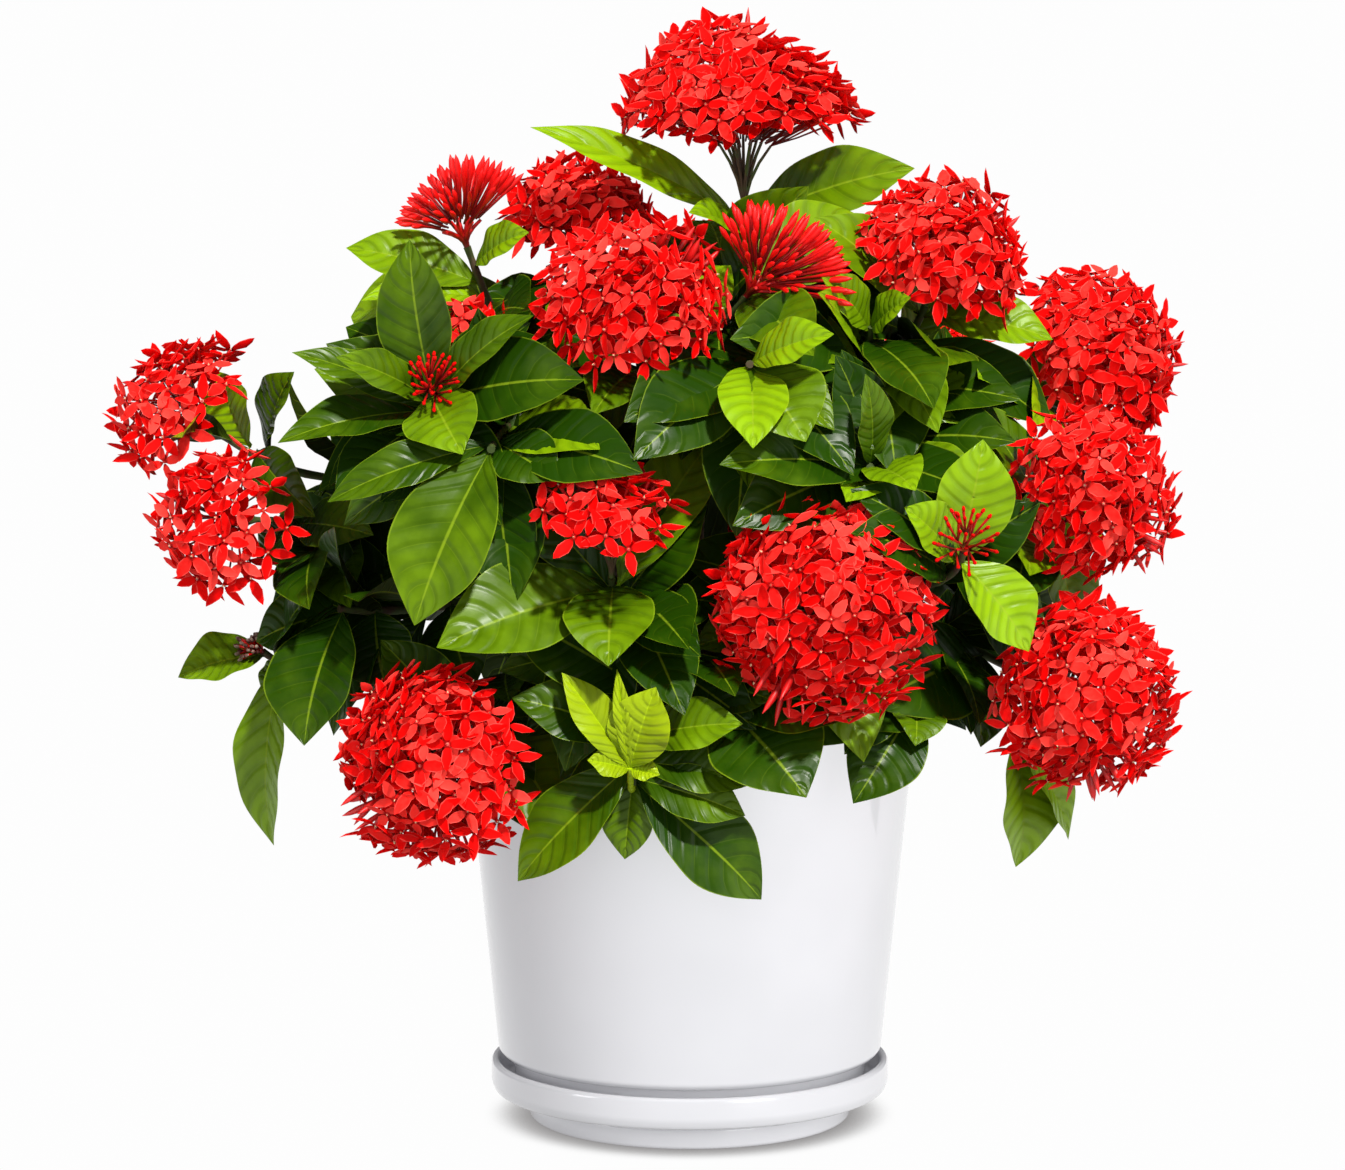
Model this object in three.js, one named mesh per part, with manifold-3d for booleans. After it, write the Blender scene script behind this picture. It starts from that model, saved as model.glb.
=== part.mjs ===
// Potted ixora: a rounded shrub in flower, standing in soil in a glazed pot on its saucer.
// Units are millimetres and +Z is up. The origin is the centre of the saucer's flat foot, and
// the front of the plant looks along -Y. Nothing on a living plant turns on a joint: the pot
// rests in the saucer, the soil fills the pot and the trunk stands in a plain hole in the soil.

import * as THREE from "three";
import { mergeVertices } from "three/addons/utils/BufferGeometryUtils.js";
import Module from "manifold-3d";

const wasm = await Module();
wasm.setup();

// ---------------------------------------------------------------------------------- sizes

// The air left between pieces that rest on or end against each other.
const GAP = 0.3;
const TURNED_SIDES = 30;

// `edge` is the rounding of the glazed edges.
const SAUCER = {
  footRadius: 81.5, footHeight: 12, rimRadius: 101, height: 30, wall: 4, floor: 17, edge: 1.5,
  heel: 5,
};
// The pot stands on a ring under its foot. Its wall leans out from the shoulder to the rim.
const POT = {
  footRadius: 89, baseRadius: 97.5, rimRadius: 115, shoulder: 36, top: 215, wall: 4,
  floor: 27, inside: 42, holeRadius: 8, ringWidth: 12, ringHeight: 3, edge: 1,
};
// The soil's crown is the heap round the trunk, which stands in a socket.
const SOIL = {
  top: 203, crown: 205, crownRadius: 55, socketRadius: 8.5, socketDepth: 50, gap: 0.5,
};

// The limbs start `overlap` below the trunk's top and bend at `spread` of the way out and
// `rise` of the way up to their forks.
const TRUNK = { radiusAtSoil: 8, radiusAtTop: 6.4, sides: 8, steps: 1, top: 236, overlap: 6 };
const LIMB = {
  radiusAtTrunk: 6, radiusAtFork: 3.8, sides: 4, steps: 2, spread: 0.55, rise: 0.35,
};
const BRANCH = { radiusAtFork: 3.4, radiusAtShoot: 2.6, sides: 3, steps: 1 };
const TWIG = { radiusAtBranch: 2.4, radiusAtTip: 1.8, sides: 3, steps: 2 };
// The share of a shoot, from its fork, that is woody. The rest is its green twig.
const WOODY_SHARE = 0.32;

// `fold` and `arch` are shares of the half width and of the length. The stations are the places
// along a leaf, with the share of the width there.
const LEAF = { length: 82, thickness: 1.5, neck: 1.6, fold: 0.24, arch: 0.07, widthShare: 0.5 };
const LEAF_STATIONS = [[0.32, 0.92], [0.68, 0.88]];
const LEAF_CLEARANCE = 0.6;
// The leaves of a pair: shares of the usual length, degrees of tilt to the tip of the shoot, and
// how far they rise or droop.
const PAIR = { shortest: 0.78, longer: 0.34, tilt: 22, moreTilt: 26, rise: 0.15, droop: 0.85 };
const LEAF_FACING = { sideways: 0.5, frontward: 50, outward: 0.85, upward: 0.55 };

// A floret reaches `reach`, and `reachByHead` of its head's radius more. The notches between its
// petals and its throat are shares of that reach.
const FLORET = {
  reach: 13, reachByHead: 0.24, notch: 0.4, throat: 0.1, lip: 1.8, reflex: 1.5, lowerLift: 0.94,
};
// Shares of a head's radius: the stalk below its centre and the core that its florets grow from.
const CORE = { stalk: 0.45, girth: 0.4, sparseGirth: 0.16, sides: 4 };
// `bulge` is the place of a bud's widest part, and the rest are shares of its cluster's radius.
const BUD = {
  radius: 2.3, spentRadius: 1.38, sides: 3, bulge: 0.8, shortest: 0.78, longer: 0.2, root: 0.1,
};
const BUD_CORE = { height: 0.14, girth: 0.1, top: 0.26, sides: 5 };
const GOLDEN_ANGLE = Math.PI * (3 - Math.sqrt(5));

// Where each main limb ends and divides into branches.
const FORKS = {
  crown: [0, 5, 385],
  leftHigh: [-70, 5, 350],
  leftLow: [-80, -35, 275],
  front: [-10, -60, 285],
  rightHigh: [75, 0, 360],
  rightLow: [80, -40, 275],
  backHigh: [5, 75, 335],
  backLow: [5, 70, 270],
};

// Every shoot: the fork it grows from, what ends it, and its own leaves. A head ends its shoot
// with a dome of florets round `at`, facing `facing`. A bud or spent cluster fans out from
// `at`. A leafy shoot only ends at `at`. `leaves` holds [place along the shoot, x, y, z of the
// tip, width], and `pairs` holds the places of the opposite pairs that follow the common rule.
const SHOOTS = [
  {
    name: "top", fork: "crown", kind: "head", at: [27, 8, 487], facing: [0, -0.06, 1],
    radius: 68, cap: 80, rings: 4, pairs: [0.5],
    leaves: [[0.95, -78, -30, 502, 28], [0.95, 110, -20, 482, 36], [0.85, 0, -48, 461, 22]],
  },
  {
    name: "crown_left", fork: "crown", kind: "head", at: [-55, 34, 444], facing: [-0.1, -0.2, 1],
    radius: 41, cap: 90, rings: 2, pairs: [0.66], leaves: [],
  },
  {
    name: "front_high", fork: "crown", kind: "head", at: [-26, -92, 408],
    facing: [-0.05, -0.62, 0.78], radius: 52, cap: 82, rings: 3, pairs: [0.7, 0.94],
    leaves: [],
  },
  {
    name: "right_high", fork: "rightHigh", kind: "head", at: [122, -40, 431],
    facing: [0.3, -0.45, 0.85], radius: 45, cap: 94, rings: 2, pairs: [0.62, 0.92],
    leaves: [],
  },
  {
    name: "right_upper", fork: "rightHigh", kind: "head", at: [198, 20, 377],
    facing: [0.7, -0.5, 0.5], radius: 50, cap: 98, rings: 3, pairs: [0.66, 0.92],
    leaves: [[0.6, 171, -60, 397, 32], [0.9, 233, 20, 347, 36]],
  },
  {
    name: "right_middle", fork: "rightLow", kind: "head", at: [192, -60, 320],
    facing: [0.55, -0.8, 0.3], radius: 44, cap: 98, rings: 3, pairs: [0.42, 0.64, 0.9],
    leaves: [],
  },
  {
    name: "right_low", fork: "rightLow", kind: "head", at: [187, -64, 226],
    facing: [0.5, -0.85, -0.1], radius: 51, cap: 98, rings: 3, pairs: [],
    leaves: [[0.6, 76, -95, 217, 54], [0.5, 138, -50, 193, 40]],
  },
  {
    name: "front_right", fork: "rightLow", kind: "head", at: [60, -120, 275],
    facing: [0.05, -0.9, 0.3], radius: 57, cap: 98, rings: 4, pairs: [0.66],
    leaves: [],
  },
  {
    name: "front_left", fork: "leftLow", kind: "head", at: [-121, -120, 204],
    facing: [-0.42, -0.85, -0.15], radius: 51, cap: 98, rings: 3, pairs: [0.66],
    leaves: [[0.92, -150, -96, 256, 34]],
  },
  {
    name: "far_left", fork: "leftHigh", kind: "head", at: [-246, -15, 358],
    facing: [-0.7, -0.4, 0.6], radius: 40, cap: 95, rings: 2, sparse: true, pairs: [0.42],
    leaves: [
      [0.97, -273, -72, 336, 20], [0.84, -198, -15, 380, 36], [0.9, -237, 8, 378, 34],
      [0.88, -185, -62, 313, 28],
    ],
  },
  {
    name: "left_middle", fork: "leftLow", kind: "head", at: [-222, -60, 311],
    facing: [-0.6, -0.75, 0.1], radius: 39, cap: 98, rings: 2, sparse: true, pairs: [],
    leaves: [
      [0.84, -155, -80, 306, 30], [0.6, -166, -85, 271, 30], [0.5, -148, -60, 271, 36],
      [0.88, -216, -30, 287, 30],
    ],
  },
  {
    name: "front_middle", fork: "front", kind: "head", at: [-38, -128, 306],
    facing: [0, -0.5, 0.85], radius: 42, cap: 72, rings: 2, sparse: true, pairs: [],
    leaves: [
      [0.9, -39, -166, 254, 44], [0.8, -5, -112, 375, 37], [0.82, -122, -142, 251, 48],
      [0.7, -90, -112, 368, 36], [0.6, 7, -112, 324, 44], [0.4, 15, -100, 278, 44],
    ],
  },
  {
    name: "left_inner", fork: "leftHigh", kind: "head", at: [-104, -53, 387],
    facing: [-0.1, -0.6, 0.75], radius: 29, cap: 95, rings: 1, sparse: true, pairs: [0.86],
    leaves: [],
  },
  {
    name: "back_left", fork: "backHigh", kind: "head", at: [-95, 118, 366],
    facing: [-0.45, 0.75, 0.5], radius: 46, cap: 98, rings: 2, pairs: [0.6, 0.78, 0.94],
    leaves: [],
  },
  {
    name: "back_middle", fork: "backHigh", kind: "head", at: [15, 140, 398],
    facing: [0, 0.75, 0.65], radius: 50, cap: 98, rings: 2, pairs: [0.44, 0.64, 0.9], leaves: [],
  },
  {
    name: "back_right", fork: "backHigh", kind: "head", at: [125, 112, 352],
    facing: [0.55, 0.75, 0.4], radius: 46, cap: 98, rings: 2, pairs: [0.58, 0.75, 0.94],
    leaves: [],
  },
  {
    name: "back_low", fork: "backLow", kind: "head", at: [35, 160, 262],
    facing: [0.1, 1, 0.1], radius: 48, cap: 98, rings: 2, pairs: [0.42, 0.64, 0.88], leaves: [],
  },
  {
    name: "left_crown", fork: "leftHigh", kind: "buds", at: [-111, -10, 442],
    facing: [-0.35, -0.1, 1], radius: 50, cap: 56, count: 17, pairs: [0.7],
    leaves: [[0.8, -171, -8, 442, 32], [0.9, -80, -44, 451, 22], [0.72, -162, -34, 417, 26]],
  },
  {
    name: "front_crown", fork: "crown", kind: "buds", at: [27, -70, 421],
    facing: [0.6, -0.35, 0.8], radius: 57, cap: 52, count: 18, pairs: [0.72, 0.95],
    leaves: [],
  },
  {
    name: "left_upper", fork: "leftHigh", kind: "spent", at: [-125, -100, 377],
    facing: [0.1, -0.85, 0.6], radius: 24, cap: 50, count: 8, pairs: [0.66],
    leaves: [
      [0.84, -136, -84, 449, 40], [0.97, -113, -146, 359, 38], [0.9, -76, -128, 416, 28],
      [0.88, -168, -125, 396, 20], [0.82, -190, -105, 397, 22], [0.8, -197, -116, 355, 30],
    ],
  },
  {
    name: "right_front", fork: "rightLow", kind: "spent", at: [130, -125, 303],
    facing: [0, -0.85, 0.55], radius: 29, cap: 50, count: 8, pairs: [],
    leaves: [[0.82, 140, -112, 355, 40], [0.9, 163, -118, 254, 38], [0.86, 102, -134, 325, 28]],
  },
  {
    name: "left_low", fork: "leftLow", kind: "spent", at: [-212, -42, 243],
    facing: [-0.5, -0.5, 0.5], radius: 13, cap: 50, count: 6, pairs: [],
    leaves: [[0.9, -209, -50, 147, 44], [0.97, -254, -44, 231, 36], [0.84, -213, -30, 216, 28]],
  },
  {
    name: "front_low", fork: "front", kind: "leafy", at: [-28, -133, 191],
    facing: [-0.1, -0.25, -0.96], pairs: [],
    leaves: [
      [0.9, -84, -124, 143, 38], [0.9, -33, -134, 154, 26], [0.98, 35, -124, 134, 40],
      [0.97, 26, -140, 178, 28], [0.9, 31, -136, 193, 26], [0.8, 24, -144, 223, 28],
      [0.8, -85, -136, 234, 32], [0.6, -76, -142, 279, 44],
    ],
  },
  {
    name: "front_rim", fork: "front", kind: "leafy", at: [16, -112, 226],
    facing: [0.3, -0.8, -0.3], pairs: [0.6],
    leaves: [
      [0.96, 55, -138, 181, 60], [0.9, 80, -138, 215, 46], [0.6, -20, -116, 251, 34],
      [0.8, 38, -128, 232, 34],
    ],
  },
  {
    name: "left_front", fork: "leftHigh", kind: "leafy", at: [-95, -130, 352],
    facing: [-0.1, -0.8, -0.2], pairs: [0.62],
    leaves: [
      [0.97, -131, -152, 271, 52], [0.92, -172, -146, 338, 24], [0.9, -63, -146, 339, 32],
      [0.85, -168, -104, 314, 34],
    ],
  },
  {
    name: "centre_right", fork: "crown", kind: "leafy", at: [28, -122, 392],
    facing: [-0.15, -0.95, 0.1], pairs: [0.6],
    leaves: [
      [0.97, 66, -150, 409, 24], [0.92, 29, -165, 357, 34], [0.95, 54, -150, 358, 46],
      [0.8, 68, -128, 362, 28],
    ],
  },
  {
    name: "right_inner", fork: "rightHigh", kind: "leafy", at: [86, -112, 342],
    facing: [0, -0.9, 0.2], pairs: [0.62],
    leaves: [
      [0.97, 83, -138, 388, 22], [0.95, 14, -156, 348, 36], [0.9, 106, -142, 335, 30],
      [0.8, 74, -140, 329, 30],
    ],
  },
  {
    name: "right_crown", fork: "rightHigh", kind: "leafy", at: [88, -66, 406],
    facing: [0.1, -0.5, 0.85], pairs: [0.56, 0.78],
    leaves: [
      [0.97, 121, -78, 417, 24], [0.95, 54, -80, 428, 22], [0.88, 141, -112, 386, 38],
      [0.84, 118, -120, 360, 34],
    ],
  },
  {
    name: "left_skirt", fork: "leftLow", kind: "leafy", at: [-172, -70, 268],
    facing: [-0.8, -0.5, 0.15], pairs: [],
    leaves: [
      [0.97, -188, -98, 205, 52], [0.9, -215, -52, 250, 34], [0.97, -197, -42, 273, 30],
      [0.8, -149, -78, 229, 42], [0.72, -177, -60, 204, 38], [0.6, -170, -48, 289, 40],
    ],
  },
  {
    name: "right_skirt", fork: "rightLow", kind: "leafy", at: [164, -14, 197],
    facing: [0.4, 0.3, -0.85], pairs: [],
    leaves: [[0.97, 166, -18, 130, 52], [0.9, 193, -4, 142, 34]],
  },
  {
    name: "right_rim", fork: "rightLow", kind: "leafy", at: [112, -82, 224],
    facing: [0.5, -0.7, -0.3], pairs: [],
    leaves: [[0.97, 79, -112, 179, 38], [0.8, 91, -122, 231, 42], [0.92, 109, -108, 207, 28]],
  },
  {
    name: "back_skirt_left", fork: "backLow", kind: "leafy", at: [-110, 110, 258],
    facing: [-0.6, 0.6, -0.1], pairs: [0.56, 0.7, 0.84, 0.98],
    leaves: [[0.5, -36, 152, 214, 46], [0.66, -66, 150, 304, 40], [0.42, -10, 132, 330, 40]],
  },
  {
    name: "back_skirt_right", fork: "backLow", kind: "leafy", at: [140, 85, 262],
    facing: [0.8, 0.5, -0.1], pairs: [0.56, 0.7, 0.84, 0.98], leaves: [],
  },
];

// The soft new growth that turns up from the end of the lowest front shoot.
const YOUNG_SHOOT = {
  carrier: "front_low", droop: 6, tip: [-29, -142, 201], radius: 1.44, sides: 3, steps: 3,
  leaves: [
    [-61, -145, 247, 21], [-35, -150, 249, 9], [-17, -152, 241, 32], [-49, -150, 206, 16],
    [-15, -150, 199, 12],
  ],
};

// Ways to bend a leaf clear of its neighbours, tried in order: degrees that the tip is raised
// and swung sideways, and the share of the length that is kept.
const LEAF_BENDS = [
  [0, 0, 1], [-10, 0, 1], [10, 0, 1], [0, 12, 1], [0, -12, 1], [-18, 0, 1], [18, 0, 1],
  [-18, 10, 1], [-18, -10, 1], [18, 10, 1], [18, -10, 1], [0, 24, 1], [0, -24, 1],
  [-30, 0, 0.9], [30, 0, 0.9], [0, 0, 0.8], [14, 14, 0.8], [-14, -14, 0.8], [14, -14, 0.8],
  [-14, 14, 0.8], [38, 20, 0.8], [-38, -20, 0.8], [38, -20, 0.8], [-38, 20, 0.8],
  [0, 0, 0.65], [24, 24, 0.65], [-24, -24, 0.65], [24, -24, 0.65], [-24, 24, 0.65],
  [0, 40, 0.65], [0, -40, 0.65],
];

const COLOURS = {
  glaze: { color: 0xf2f2f4, roughness: 0.12 },
  soil: { color: 0x3a2a1e, roughness: 0.95 },
  bark: { color: 0x5c4634, roughness: 0.85 },
  foliage: { color: 0x3f7012, roughness: 0.4 },
  newGrowth: { color: 0x9cc42a, roughness: 0.4 },
  petal: { color: 0xe8201c, roughness: 0.5 },
  bud: { color: 0xb01418, roughness: 0.5 },
};

// -------------------------------------------------------------------------------- helpers

const vector = (xyz) => new THREE.Vector3(...xyz);
const UP = vector([0, 0, 1]);

// An even scatter between 0 and 1 that repeats the same on every run.
const scatter = (count, salt) => (count * 0.6180339887 + salt * 0.7548776662) % 1;

// A closed triangle mesh as a solid that can be joined and cut.
function solid(points, faces) {
  const vertProperties = new Float32Array(points.flatMap((p) => [p.x, p.y, p.z]));
  const triVerts = new Uint32Array(faces.flat());
  return new wasm.Manifold(new wasm.Mesh({ numProp: 3, vertProperties, triVerts }));
}

function join(solids) {
  return solids.reduce((whole, piece) => whole.add(piece));
}

function geometryOf(shape) {
  const mesh = shape.getMesh();
  const geometry = new THREE.BufferGeometry();
  geometry.setAttribute("position", new THREE.BufferAttribute(mesh.vertProperties, 3));
  geometry.setIndex(new THREE.BufferAttribute(mesh.triVerts, 1));
  return geometry;
}

// A turned piece from [radius, height] points that start and end on the axis or close on
// themselves, running up the outside.
function turned(profile) {
  const points = profile.map(([radius, height]) => new THREE.Vector2(radius, height));
  const geometry = new THREE.LatheGeometry(points, TURNED_SIDES);
  geometry.deleteAttribute("normal");
  geometry.deleteAttribute("uv");
  geometry.rotateX(Math.PI / 2);
  const merged = mergeVertices(geometry, 1e-4);
  const index = Array.from(merged.index.array);
  const kept = [];
  for (let i = 0; i < index.length; i += 3) {
    const [a, b, c] = index.slice(i, i + 3);
    if (a !== b && b !== c && c !== a) kept.push(a, b, c);
  }
  merged.setIndex(kept);
  return merged;
}

function solidOfGeometry(geometry) {
  const vertProperties = new Float32Array(geometry.attributes.position.array);
  const triVerts = new Uint32Array(geometry.index.array);
  return new wasm.Manifold(new wasm.Mesh({ numProp: 3, vertProperties, triVerts }));
}

// A stem's line: it leaves `start`, and reaches `end` in the direction `heading`.
function stemCurve(start, end, heading) {
  const reach = start.distanceTo(end) * 0.5;
  const middle = end.clone().addScaledVector(heading, -reach);
  return new THREE.QuadraticBezierCurve3(start, middle, end);
}

// The across axis of a stem, square to the plane that its curve bends in.
function acrossOf(curve) {
  const first = curve.v1.clone().sub(curve.v0);
  const last = curve.v2.clone().sub(curve.v0);
  const across = first.cross(last);
  return across.lengthSq() > 1 ? across.normalize() : last.cross(UP).normalize();
}

// A tapered tube along part of a stem's curve, with flat ends.
function tube(curve, from, to, radiusFrom, radiusTo, { sides, steps }) {
  const across = acrossOf(curve);
  const points = [];
  for (let step = 0; step <= steps; step += 1) {
    const share = step / steps;
    const place = from + (to - from) * share;
    const centre = curve.getPoint(place);
    const lift = curve.getTangent(place).cross(across);
    const radius = radiusFrom + (radiusTo - radiusFrom) * share;
    for (let side = 0; side < sides; side += 1) {
      const angle = (2 * Math.PI * side) / sides;
      points.push(centre.clone()
        .addScaledVector(across, radius * Math.cos(angle))
        .addScaledVector(lift, radius * Math.sin(angle)));
    }
  }
  return solid(points, ringFaces(sides, steps + 1, true));
}

// A place on the straight lengths that a twig's tube is made of.
function twigPoint(curve, place) {
  const share = ((place - WOODY_SHARE) / (1 - WOODY_SHARE)) * TWIG.steps;
  const step = Math.min(Math.floor(share), TWIG.steps - 1);
  const ringAt = (ring) => curve.getPoint(WOODY_SHARE + ((1 - WOODY_SHARE) * ring) / TWIG.steps);
  return ringAt(step).lerp(ringAt(step + 1), share - step);
}

// Triangles between rings of points, with a flat cap at each end where `capped` is true.
// Otherwise the last ring closes on one more point.
function ringFaces(sides, rings, capped) {
  const faces = [];
  const apex = sides * rings;
  for (let ring = 0; ring < rings - 1; ring += 1) {
    for (let side = 0; side < sides; side += 1) {
      const a = ring * sides + side;
      const b = ring * sides + ((side + 1) % sides);
      faces.push([a, b, b + sides], [a, b + sides, a + sides]);
    }
  }
  const last = (rings - 1) * sides;
  for (let side = 1; side < sides - 1; side += 1) {
    faces.push([0, side + 1, side]);
    if (capped) faces.push([last, last + side, last + side + 1]);
  }
  if (!capped) {
    for (let side = 0; side < sides; side += 1) {
      faces.push([last + side, last + ((side + 1) % sides), apex]);
    }
  }
  return faces;
}

// Two axes square to `axis` and to each other.
function crossAxes(axis) {
  const first = axis.clone().cross(Math.abs(axis.z) < 0.9 ? UP : vector([0, 1, 0])).normalize();
  return [first, axis.clone().cross(first)];
}

// The direction at `polar` from `axis` and `turn` round it.
function leaning(axis, polar, turn) {
  const [first, second] = crossAxes(axis);
  return axis.clone().multiplyScalar(Math.cos(polar))
    .addScaledVector(first, Math.sin(polar) * Math.cos(turn))
    .addScaledVector(second, Math.sin(polar) * Math.sin(turn));
}

// --------------------------------------------------------------------------------- leaves

// The upper face of a leaf looks up and outwards, turned a little to the light at the front.
function leafFacing(base, along) {
  const out = vector([base.x * LEAF_FACING.sideways, base.y - LEAF_FACING.frontward, 0]);
  const face = out.normalize().multiplyScalar(LEAF_FACING.outward)
    .addScaledVector(UP, LEAF_FACING.upward);
  return face.addScaledVector(along, -face.dot(along)).normalize();
}

// One leaf: two halves that rise from the midrib, arched along it, thickest at the rib and
// sharp at the edge. `extra` grows it all round, to test its clearance.
function leafSolid(base, tip, width, extra = 0) {
  const along = tip.clone().sub(base);
  const length = along.length();
  along.normalize();
  const face = leafFacing(base, along);
  const side = along.clone().cross(face);
  const points = [
    base.clone().addScaledVector(face, LEAF.neck / 2),
    base.clone().addScaledVector(face, -LEAF.neck / 2),
    tip.clone().addScaledVector(along, extra),
  ];
  for (const [place, share] of LEAF_STATIONS) {
    const half = (width / 2) * share + extra;
    const centre = base.clone().addScaledVector(along, length * place)
      .addScaledVector(face, length * LEAF.arch * 4 * place * (1 - place));
    const edge = centre.clone().addScaledVector(face, half * LEAF.fold);
    points.push(
      edge.clone().addScaledVector(side, -half),
      edge.clone().addScaledVector(side, half),
      centre.clone().addScaledVector(face, extra),
      centre.clone().addScaledVector(face, -LEAF.thickness - extra),
    );
  }
  const [neck, neckUnder, point] = [0, 1, 2];
  const [left, right, top, under] = [3, 4, 5, 6];
  const faces = [
    [neck, right, top], [neck, top, left], [neckUnder, under, right], [neckUnder, left, under],
    [neck, neckUnder, right], [neckUnder, neck, left],
  ];
  for (let k = 0; k < 4 * (LEAF_STATIONS.length - 1); k += 4) {
    faces.push(
      [top + k, right + k, right + k + 4], [top + k, right + k + 4, top + k + 4],
      [top + k, left + k + 4, left + k], [top + k, top + k + 4, left + k + 4],
      [under + k, right + k + 4, right + k], [under + k, under + k + 4, right + k + 4],
      [under + k, left + k, left + k + 4], [under + k, left + k + 4, under + k + 4],
    );
  }
  const [leftEnd, rightEnd, topEnd, underEnd] = [4, 3, 2, 1].map((k) => points.length - k);
  faces.push(
    [topEnd, rightEnd, point], [topEnd, point, leftEnd],
    [underEnd, point, rightEnd], [underEnd, leftEnd, point],
  );
  return solid(points, faces);
}

// The tip after one of the bends: raised round the leaf's own side axis, then swung round its
// upper face, then drawn in.
function bentTip(base, tip, [raise, swing, keep]) {
  const along = tip.clone().sub(base);
  const length = along.length() * keep;
  along.normalize();
  const face = leafFacing(base, along);
  const side = along.clone().cross(face);
  along.applyAxisAngle(side, THREE.MathUtils.degToRad(raise));
  along.applyAxisAngle(face, THREE.MathUtils.degToRad(swing));
  return base.clone().addScaledVector(along, length);
}

// The leaves that a shoot asks for, as base, tip and width, before any is bent clear. Pairs
// stand opposite each other, and each pair is turned a quarter round from the one before.
function wantedLeaves(shoot, curve, number) {
  const wanted = shoot.leaves.map(([place, x, y, z, width]) => (
    { base: twigPoint(curve, place), tip: vector([x, y, z]), width }
  ));
  const across = acrossOf(curve);
  shoot.pairs.forEach((place, order) => {
    const heading = curve.getTangent(place);
    const quarter = order % 2 === 0 ? across.clone() : heading.clone().cross(across);
    for (const way of [1, -1]) {
      const draw = scatter(number * 7 + order * 2 + (way > 0 ? 1 : 0), number);
      const length = LEAF.length * (PAIR.shortest + PAIR.longer * draw);
      const tilt = THREE.MathUtils.degToRad(PAIR.tilt + PAIR.moreTilt * ((draw * 3) % 1));
      const along = quarter.clone().multiplyScalar(way * Math.cos(tilt))
        .addScaledVector(heading, Math.sin(tilt))
        .addScaledVector(UP, PAIR.rise - PAIR.droop * ((draw * 5) % 1)).normalize();
      const base = twigPoint(curve, place);
      const tip = base.clone().addScaledVector(along, length);
      wanted.push({ base, tip, width: length * LEAF.widthShare });
    }
  });
  return wanted;
}

// --------------------------------------------------------------------------- flower heads

// A floret grown from the four corners of one face of a head's core: a tube that narrows to
// the throat, then four pointed petals round it. Its points and faces go on the lists given.
function growFloret(points, faces, corners, mouth, axis, reach) {
  const first = points[corners[0]].clone().sub(mouth);
  const start = first.addScaledVector(axis, -first.dot(axis)).normalize();
  const around = (quarter, radius, drop) => (
    start.clone().applyAxisAngle(axis, quarter * (Math.PI / 2)).multiplyScalar(radius)
      .addScaledVector(axis, -drop).add(mouth)
  );
  const lowest = points.length;
  for (let petal = 0; petal < 4; petal += 1) {
    points.push(
      around(petal, reach * FLORET.throat, FLORET.lip),
      around(petal, reach * FLORET.notch, 0),
      around(petal + 0.5, reach, FLORET.reflex),
    );
  }
  for (let petal = 0; petal < 4; petal += 1) {
    const next = (petal + 1) % 4;
    const [lip, notch, tip] = [0, 1, 2].map((k) => lowest + petal * 3 + k);
    const [nextLip, nextNotch] = [0, 1].map((k) => lowest + next * 3 + k);
    faces.push(
      [corners[petal], corners[next], nextLip], [corners[petal], nextLip, lip],
      [tip, notch, lip], [tip, lip, nextLip], [tip, nextLip, nextNotch], [notch, tip, nextNotch],
    );
  }
  const notches = [0, 1, 2, 3].map((petal) => lowest + petal * 3 + 1);
  faces.push([notches[0], notches[1], notches[2]], [notches[0], notches[2], notches[3]]);
}

// A bud on its stalk: a slim club, widest near its tip, that narrows to a point at `root`.
function budSolid(root, tip, radius) {
  const axis = tip.clone().sub(root);
  const widest = root.clone().addScaledVector(axis, BUD.bulge);
  axis.normalize();
  const points = [root, tip];
  const faces = [];
  for (let side = 0; side < BUD.sides; side += 1) {
    const turn = (2 * Math.PI * side) / BUD.sides;
    points.push(leaning(axis, Math.PI / 2, turn).multiplyScalar(radius).add(widest));
    const next = 2 + ((side + 1) % BUD.sides);
    faces.push([2 + side, next, 1], [next, 2 + side, 0]);
  }
  return solid(points, faces);
}

// The small core that buds stand out of: it widens from the stalk, then closes to a point.
function coreSolid(foot, axis, levels) {
  const points = [];
  for (const [height, radius] of levels.slice(0, -1)) {
    for (let side = 0; side < BUD_CORE.sides; side += 1) {
      const turn = (2 * Math.PI * side) / BUD_CORE.sides;
      points.push(leaning(axis, Math.PI / 2, turn).multiplyScalar(radius)
        .addScaledVector(axis, height).add(foot));
    }
  }
  points.push(foot.clone().addScaledVector(axis, levels.at(-1)[0]));
  return solid(points, ringFaces(BUD_CORE.sides, levels.length - 1, false));
}

// The buds of a cluster stand on an even spiral over a cap of `cap` degrees round its facing.
function spiralDirections(axis, cap, count) {
  const depth = 1 - Math.cos(THREE.MathUtils.degToRad(cap));
  return Array.from({ length: count }, (_, i) => (
    leaning(axis, Math.acos(1 - (depth * (i + 0.5)) / count), i * GOLDEN_ANGLE)
  ));
}

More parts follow.
